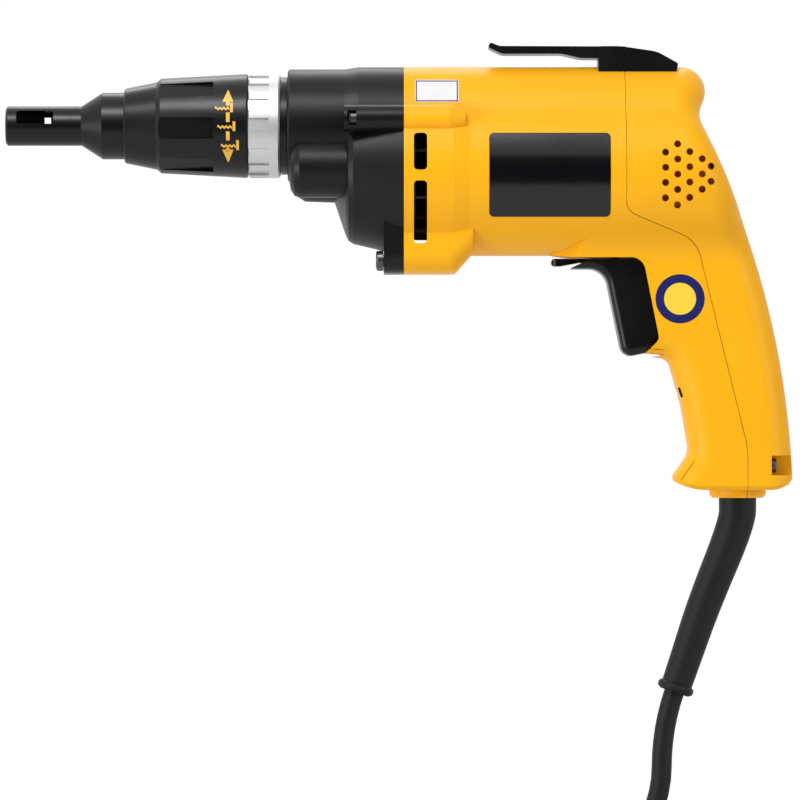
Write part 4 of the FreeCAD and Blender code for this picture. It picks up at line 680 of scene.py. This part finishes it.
class SCREWDRIVER_OT_labels(bpy.types.Operator):
    """Sticks the two bare labels on the shell"""
    bl_idname = "screwdriver.labels"
    bl_label = "Labels"

    def execute(self, context):
        self.make_rectangle()
        self.make_round()
        return {"FINISHED"}

    def make_rectangle(self):
        s, c = sizes(), colours()
        piece = upright_sheet("front_label", LABEL_MIDDLE, s.label_width, s.label_height)
        editing(piece)
        bpy.ops.mesh.select_all(action="SELECT")
        bpy.ops.mesh.bevel(offset=LABEL_CORNER, segments=3, affect="VERTICES")
        bpy.ops.mesh.poke()
        bpy.ops.mesh.subdivide(number_cuts=5)
        done_editing()
        laid_on(piece, "motor_housing", s.film)
        finish, shader, place = new_finish("made_front_label", {"Specular IOR Level": LABEL_SPECULAR})
        along, up = from_middle(place, LABEL_MIDDLE)
        border, edge = [(abs(along) > s.label_width / 2 - margin) + (abs(up) > s.label_height / 2 - margin)
                        for margin in (BORDER_INNER, BORDER_OUTER)]
        line = (border > 0.5) * (edge < 0.5)
        fibre = clouds(place, scale=300.0)
        paper = blended(place, fibre, shade(c.label_paper, 0.94), shade(c.label_paper, 1.06))
        mixed = blended(place, line, paper, shade(c.label_ink, 1.0))
        surface(shader, place, mixed, 0.45 + fibre * 0.1, fibre, 0.01 * MM)
        smooth(piece)
        dress(piece, finish, "housing")

    def make_round(self):
        s, c = sizes(), colours()
        clear()
        bpy.ops.mesh.primitive_circle_add(vertices=64, radius=s.round_label / 2, fill_type="TRIFAN",
                                          location=ROUND_MIDDLE, rotation=UPRIGHT)
        piece = subdivided(settle(named("grip_label")), 3)
        laid_on(piece, "motor_housing", s.film)
        finish, shader, place = new_finish("made_grip_label", {"Specular IOR Level": LABEL_SPECULAR})
        along, up = from_middle(place, ROUND_MIDDLE)
        away = place.calc("SQRT", along * along + up * up)
        centre = away < s.round_label * CENTRE_SHARE
        fibre = clouds(place, scale=300.0)
        ink = blended(place, fibre, shade(c.label_ink, 0.85), shade(c.label_ink, 1.15))
        mixed = blended(place, centre, ink, shade(c.label_centre, 1.0))
        surface(shader, place, mixed, 0.45 + fibre * 0.1, fibre, 0.01 * MM)
        smooth(piece)
        dress(piece, finish, "housing")


ARROW_ALONG = -202.0
ARROW_LOW = 84.7
ARROW_HIGH = 113.9
SHAFT_RUNS = [(107.4, 109.4), (100.7, 104.6), (93.3, 96.9), (88.7, 90.2)]
SHAFT_WIDTH = 1.5
HEAD_WIDTH = 4.5
HEAD_HEIGHT = 4.9
POINT_SHARE = 0.06
SCREW_SIGNS = [(-207.4, 106.6), (-206.4, 99.0), (-205.0, 91.4)]
WAVE_COUNT = 7
WAVE_STEP = 0.78
WAVE_RISE = 0.75
SHANK_ALONG = 0.4
SHANK_SIZE = (0.5, 0.9)
CROSSBAR_ALONG = 6.9
CROSSBAR_SIZE = (1.1, 3.9)


class SCREWDRIVER_OT_collar_signs(bpy.types.Operator):
    """Prints the depth arrow with its three screws on the collar"""
    bl_idname = "screwdriver.collar_signs"
    bl_label = "Collar signs"

    def strip(self, name, along, up, width, height):
        """A flat strip from its middle and size in millimetres."""
        return upright_sheet(name, Vector((along, IN_FRONT, up)) * MM, width * MM, height * MM)

    def arrow_head(self, up, heading):
        """A triangle from a strip whose far edge is drawn to a point."""
        piece = self.strip("arrow_head", ARROW_ALONG, up, HEAD_WIDTH, HEAD_HEIGHT)
        middle = up * MM
        editing(piece)
        pick_points(piece, lambda place: (place.z - middle) * heading > 0)
        bpy.ops.transform.resize(value=(POINT_SHARE, 1.0, 1.0))
        done_editing()
        return piece

    def screw_sign(self, along, up):
        """A small screw seen from the side: a wavy shank and a crossbar head."""
        shank = self.strip("screw_shank", along + SHANK_ALONG, up, *SHANK_SIZE)
        for k in range(WAVE_COUNT):
            editing(shank)
            far = max(v.co.x for v in shank.data.vertices)
            pick_points(shank, lambda place: place.x > far - HAIR)
            rise = WAVE_RISE if k % 2 else -WAVE_RISE
            step = (WAVE_STEP * MM, 0.0, rise * MM)
            bpy.ops.mesh.select_mode(type="EDGE")
            bpy.ops.mesh.extrude_region_move(TRANSFORM_OT_translate={"value": step})
            done_editing()
        head = self.strip("screw_head", along + CROSSBAR_ALONG, up, *CROSSBAR_SIZE)
        return [shank, head]

    def execute(self, context):
        pieces = [self.strip("arrow_shaft", ARROW_ALONG, (low + high) / 2, SHAFT_WIDTH, high - low)
                  for low, high in SHAFT_RUNS]
        pieces.append(self.arrow_head(ARROW_HIGH - HEAD_HEIGHT / 2, 1))
        pieces.append(self.arrow_head(ARROW_LOW + HEAD_HEIGHT / 2, -1))
        for along, up in SCREW_SIGNS:
            pieces += self.screw_sign(along, up)
        piece = subdivided(joined("depth_sign", pieces), 4)
        laid_on(piece, "depth_collar", sizes().film)
        finish = moulded("made_sign_ink", colours().sign, rough=0.4, grain=900.0, tint=0.12)
        dress(smooth(piece), finish, "depth_collar")
        return {"FINISHED"}


class ScrewGroup:
    """Like screws of one node: head and shank sizes, the way they face, seats and lengths."""

    def __init__(self, node, name, head, height, shank, facing, seats):
        self.node = node
        self.name = name
        self.head = head * MM
        self.height = height * MM
        self.shank = shank * MM
        self.facing = Vector(facing)
        self.seats = [(Vector(spot) * MM, length * MM) for spot, length in seats]


SCREW_GROUPS = (
    ScrewGroup("gear_case_screws", "case_screws", head=3.7, height=3.0, shank=2.0, facing=(-1.0, 0.0, 0.0),
               seats=[((-149.6, -27.5, 101.9), 34.0), ((-149.6, 27.5, 101.9), 34.0),
                      ((-138.8, -18.5, 44.7), 23.2), ((-138.8, 18.5, 44.7), 23.2)]),
    ScrewGroup("handle_cover_screws", "cover_screws", head=3.0, height=2.2, shank=1.5, facing=(1.0, 0.0, 0.0),
               seats=[((19.3, -12.8, -39.0), 26.0), ((19.3, 12.8, -39.0), 26.0)]),
    ScrewGroup("belt_hook_screws", "hook_screws", head=3.6, height=2.2, shank=1.9, facing=(0.0, 0.0, 1.0),
               seats=[((-45.6, 0.0, 129.4), 13.4), ((-33.0, 0.0, 128.0), 12.0)]),
)
DOME_SHARE = 0.3
RIM_SHARE = 0.18
LOBE_COUNT = 6
LOBE_WAIST = 0.74
LOBE_GAP = -0.5
INNER_SHARE = 0.7
RECESS_SHARE = 0.55
RECESS_SLOPE = 0.06 * MM


class SCREWDRIVER_OT_screws(bpy.types.Operator):
    """Makes the visible screws with star-drive heads"""
    bl_idname = "screwdriver.screws"
    bl_label = "Screws"

    def screw(self, group, length):
        """A pan-head screw with a six-lobed recess, its seat at the origin, facing up."""
        radius, height = group.head, group.height
        clear()
        bpy.ops.mesh.primitive_cylinder_add(vertices=24, radius=radius, depth=height,
                                            location=(0.0, 0.0, height / 2))
        piece = settle(named("screw"))
        top = height - HAIR
        editing(piece)
        pick_faces(piece, lambda middle, normal: normal.z > FACING)
        bpy.ops.mesh.bevel(offset=height * DOME_SHARE, segments=3, affect="EDGES")
        pick_faces(piece, lambda middle, normal: normal.z > SQUARE and middle.z > top)
        bpy.ops.mesh.inset(thickness=radius * RIM_SHARE, depth=0.0)
        pick_points(piece, lambda place: place.z > top and place.xy.length < radius * INNER_SHARE
                    and math.cos(LOBE_COUNT * math.atan2(place.y, place.x)) < LOBE_GAP)
        bpy.ops.transform.resize(value=(LOBE_WAIST, LOBE_WAIST, 1.0), center_override=(0.0, 0.0, height))
        pick_faces(piece, lambda middle, normal: normal.z > SQUARE and middle.z > top
                   and middle.xy.length < HAIR)
        bpy.ops.mesh.inset(thickness=RECESS_SLOPE, depth=-height * RECESS_SHARE)
        pick_faces(piece, lambda middle, normal: normal.z < -SQUARE)
        bpy.ops.mesh.inset(thickness=radius - group.shank, depth=0.0)
        bpy.ops.mesh.extrude_region_move(TRANSFORM_OT_translate={"value": (0.0, 0.0, -length)})
        done_editing()
        return piece

    def execute(self, context):
        for group in SCREW_GROUPS:
            copies = []
            for spot, length in group.seats:
                copy = self.screw(group, length)
                copy.rotation_euler = group.facing.to_track_quat("Z", "Y").to_euler()
                copy.location = spot
                copies.append(settle(copy))
            piece = smooth(joined(group.name, copies), angle=30.0)
            dress(piece, finish_of("dark_steel"), "housing")
            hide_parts(group.node)
        return {"FINISHED"}


GRIP_SLIVER_MIDDLE = Vector((-17.5, IN_FRONT, -9.2)) * MM
GRIP_SLIVER_RADIUS = 0.45 * MM
GRIP_SLIVER_STRETCH = Vector((-0.55, 0.0, 1.6)) * MM


class SCREWDRIVER_OT_grip_mark(bpy.types.Operator):
    """Lays a thin dark matte sliver on the front edge of the grip"""
    bl_idname = "screwdriver.grip_mark"
    bl_label = "Grip sliver"

    def execute(self, context):
        clear()
        bpy.ops.mesh.primitive_circle_add(vertices=24, radius=GRIP_SLIVER_RADIUS, fill_type="TRIFAN",
                                          rotation=UPRIGHT, location=GRIP_SLIVER_MIDDLE)
        piece = settle(named("grip_sliver"))
        editing(piece)
        for way in (1, -1):
            pick_points(piece, lambda place: (place.z - GRIP_SLIVER_MIDDLE.z) * way > HAIR)
            bpy.ops.transform.translate(value=GRIP_SLIVER_STRETCH * way)
        done_editing()
        subdivided(piece, 2)
        laid_on(piece, "motor_housing", sizes().film)
        # A dark, nearly unreflecting film on the shell: it stands for the dark sliver at the grip's front
        # edge.
        finish = moulded("made_plug_black", colours().rubber, rough=0.8, specular=0.05, tint=0.2)
        dress(smooth(piece), finish, "housing")
        return {"FINISHED"}


SCREEN_LOW = Vector((-27.0, -27.0, 66.0)) * MM
SCREEN_HIGH = Vector((1.0, -27.0, 95.5)) * MM
SCREEN_REAR = Vector((-0.2, 0.0, 68.0)) * MM
SCREEN_SLOPE = 0.404
SCREEN_WALL = 1.2 * MM
SCREEN_EDGE = 0.3 * MM


class SCREWDRIVER_OT_vent_screens(bpy.types.Operator):
    """Sets the inner walls that show behind the rear vents"""
    bl_idname = "screwdriver.vent_screens"
    bl_label = "Vent screens"

    def execute(self, context):
        span = SCREEN_HIGH - SCREEN_LOW
        near = upright_sheet("near_screen", (SCREEN_LOW + SCREEN_HIGH) / 2, span.x, span.z)
        editing(near)
        bpy.ops.mesh.select_all(action="SELECT")
        bpy.ops.mesh.bisect(plane_co=SCREEN_REAR, plane_no=(1.0, 0.0, SCREEN_SLOPE), clear_outer=True)
        bpy.ops.mesh.select_all(action="SELECT")
        bpy.ops.mesh.extrude_region_move(TRANSFORM_OT_translate={"value": (0.0, SCREEN_WALL, 0.0)})
        bpy.ops.mesh.select_all(action="SELECT")
        bpy.ops.mesh.normals_make_consistent(inside=False)
        done_editing()
        applied(near, "BEVEL", width=SCREEN_EDGE, segments=2, limit_method="ANGLE")
        only(near)
        bpy.ops.object.duplicate()
        far = named("far_screen")
        far.location.y = -2 * SCREEN_LOW.y - SCREEN_WALL
        piece = smooth(joined("vent_screens", [near, settle(far)]))
        dress(piece, finish_of("yellow_shell"), "housing")
        return {"FINISHED"}


class SpringSite:
    """A compression spring: the joint that shortens it, its body, turns, wire and the joint's travel; the
    joint and the travel are not used.
    """

    def __init__(self, node, name, body, joint, turns, wire, travel):
        self.node = node
        self.name = name
        self.body = body
        self.joint = joint
        self.turns = turns
        self.wire = wire * MM
        self.travel = travel * MM


SPRING_SITES = (
    SpringSite("clutch_spring", "clutch_coil", "drive_gear", "spindle_press",
               turns=3, wire=1.15, travel=3.65),
    SpringSite("trigger_spring", "trigger_coil", "housing", "trigger_pull",
               turns=4, wire=0.95, travel=6.35),
)
TURN_POINTS = 12


class SCREWDRIVER_OT_springs(bpy.types.Operator):
    """Winds the clutch and trigger springs"""
    bl_idname = "screwdriver.springs"
    bl_label = "Springs"

    def coil(self, site, low, high):
        """Round wire wound along the tool between two corners."""
        middle = (low + high) / 2
        reach = ((high.y - low.y) / 2 - site.wire / 2) / math.cos(math.pi / TURN_POINTS)
        last = site.turns * TURN_POINTS
        spots = []
        for k in range(last + 1):
            turn = 2 * math.pi * k / TURN_POINTS
            along = low.x + site.wire / 2 + (high.x - low.x - site.wire) * k / last
            spots.append(Vector((along, middle.y + reach * math.cos(turn),
                                 middle.z + reach * math.sin(turn))))
        piece = tube(site.name, spots, site.wire)
        only(piece)
        bpy.ops.object.convert(target="MESH")
        return smooth(bpy.context.object, angle=50.0)

    def execute(self, context):
        for site in SPRING_SITES:
            low, high = (Vector(corner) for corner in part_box(site.node))
            piece = self.coil(site, low, high)
            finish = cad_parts[site.node].data.materials[0]
            dress(piece, finish, site.body)
            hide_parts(site.node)
            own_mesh(piece)
        return {"FINISHED"}


VIEW_MIDDLE = Vector((-132.0, 0.0, -12.3)) * MM
LAMP_AIM = VIEW_MIDDLE + Vector((0.0, 0.0, 0.06))
SENSOR_WIDTH = 36.0
FAR_CLIP = 20.0
FLOOR_SIZE = 2.6
FLOOR_ALONG = -0.13
FLOOR_GAP = 0.4 * MM
FLAG_MIDDLE = VIEW_MIDDLE - Vector((0.0, 2.8, 0.1))
FLAG_WIDTH = 4.4
FLAG_HEIGHT = 2.6
FILL_LIGHT = 0.5


class SCREWDRIVER_OT_stage(bpy.types.Operator):
    """Sets the pale floor, the studio lights and the camera"""
    bl_idname = "screwdriver.stage"
    bl_label = "Studio"

    def execute(self, context):
        self.make_camera(context)
        self.make_floor()
        self.make_flag()
        self.make_world(context)
        self.make_lamp("key_softbox", (-0.45, -0.9, 1.15), width=0.6, height=0.4, power=11.5)
        self.make_lamp("left_softbox", (-1.9, -1.3, -0.05), width=0.8, height=0.8, power=18.0)
        self.make_lamp("right_softbox", (1.5, -1.2, 0.3), width=0.7, height=0.7, power=7.0)
        self.make_lamp("back_softbox", (-0.2, 0.9, 1.0), width=0.9, height=0.4, power=4.0)
        context.scene.view_settings.view_transform = "Standard"
        return {"FINISHED"}

    def make_camera(self, context):
        s = sizes()
        clear()
        bpy.ops.object.camera_add(location=VIEW_MIDDLE - Vector((0.0, s.view_distance, 0.0)),
                                  rotation=UPRIGHT)
        camera = context.object
        camera.name = "studio_camera"
        camera.data.sensor_width = SENSOR_WIDTH
        camera.data.lens = SENSOR_WIDTH * s.view_distance / s.view_width
        camera.data.clip_end = FAR_CLIP
        context.scene.camera = camera

    def make_floor(self):
        clear()
        height = CAD_BOX[0][2] - FLOOR_GAP
        bpy.ops.mesh.primitive_plane_add(size=FLOOR_SIZE, location=(FLOOR_ALONG, 0.0, height))
        floor = settle(named("studio_floor"))
        finish, shader, place = new_finish("made_floor", {"Specular IOR Level": 0.1})
        mottle = clouds(place, scale=6.0)
        mixed = blended(place, mottle, (0.86, 0.86, 0.86, 1.0), (0.9, 0.9, 0.9, 1.0))
        surface(shader, place, mixed, 0.8 + mottle * 0.1, mottle, 0.05 * MM)
        floor.data.materials.append(finish)

    def make_flag(self):
        """A dark cloth behind the camera, for depth in the black surfaces."""
        flag = upright_sheet("studio_flag", FLAG_MIDDLE, FLAG_WIDTH, FLAG_HEIGHT)
        finish, shader, place = new_finish("made_flag", {"Specular IOR Level": 0.0})
        folds = clouds(place, scale=2.0)
        mixed = blended(place, folds, (0.02, 0.02, 0.02, 1.0), (0.04, 0.04, 0.04, 1.0))
        surface(shader, place, mixed, 0.9 + folds * 0.05, folds, 1.0 * MM)
        flag.data.materials.append(finish)
        flag.visible_camera = False

    def make_world(self, context):
        """White to the eye and in reflections, dimmer as a light."""
        world = bpy.data.worlds.new("studio_world")
        world.use_nodes = True
        context.scene.world = world
        tree = world.node_tree
        back = next(n for n in tree.nodes if n.type == "BACKGROUND")
        path = tree.nodes.new("ShaderNodeLightPath")
        seen = Strand(tree, path.outputs["Is Camera Ray"])
        glossy = Strand(tree, path.outputs["Is Glossy Ray"])
        clear_ray = Strand(tree, path.outputs["Is Transmission Ray"])
        white = (seen + glossy + clear_ray) > 0.5
        back.inputs["Color"].default_value = (1.0, 1.0, 1.0, 1.0)
        seen.feed(back.inputs["Strength"], white * (1.0 - FILL_LIGHT) + FILL_LIGHT)

    def make_lamp(self, name, spot, width, height, power):
        """A soft area lamp that faces the tool."""
        clear()
        aim = LAMP_AIM - Vector(spot)
        bpy.ops.object.light_add(type="AREA", location=spot, rotation=aim.to_track_quat("-Z", "Y").to_euler())
        lamp = bpy.context.object
        lamp.name = name
        lamp.data.shape = "RECTANGLE"
        lamp.data.size = width
        lamp.data.size_y = height
        lamp.data.energy = power


STEPS = (
    SCREWDRIVER_OT_stage,
    SCREWDRIVER_OT_finishes,
    SCREWDRIVER_OT_relief,
    SCREWDRIVER_OT_plug,
    SCREWDRIVER_OT_tie,
    SCREWDRIVER_OT_cord,
    SCREWDRIVER_OT_labels,
    SCREWDRIVER_OT_collar_signs,
    SCREWDRIVER_OT_screws,
    SCREWDRIVER_OT_grip_mark,
    SCREWDRIVER_OT_vent_screens,
    SCREWDRIVER_OT_springs,
)


class SCREWDRIVER_PT_panel(bpy.types.Panel):
    """Steps that dress the screwdriver"""
    bl_idname = "SCREWDRIVER_PT_panel"
    bl_label = "Drywall screwdriver"
    bl_space_type = "VIEW_3D"
    bl_region_type = "UI"
    bl_category = "Screwdriver"

    def draw(self, context):
        for step in STEPS:
            self.layout.operator(step.bl_idname)


CLASSES = (ScrewdriverColours, ScrewdriverSizes, *STEPS, SCREWDRIVER_PT_panel)


def register():
    for item in CLASSES:
        bpy.utils.register_class(item)
    bpy.types.Scene.screwdriver_colours = bpy.props.PointerProperty(type=ScrewdriverColours)
    bpy.types.Scene.screwdriver_sizes = bpy.props.PointerProperty(type=ScrewdriverSizes)


def unregister():
    del bpy.types.Scene.screwdriver_sizes
    del bpy.types.Scene.screwdriver_colours
    for item in reversed(CLASSES):
        bpy.utils.unregister_class(item)


def main():
    register()
    for step in STEPS:
        group, action = step.bl_idname.split(".")
        getattr(getattr(bpy.ops, group), action)()


if __name__ == "__main__":
    main()
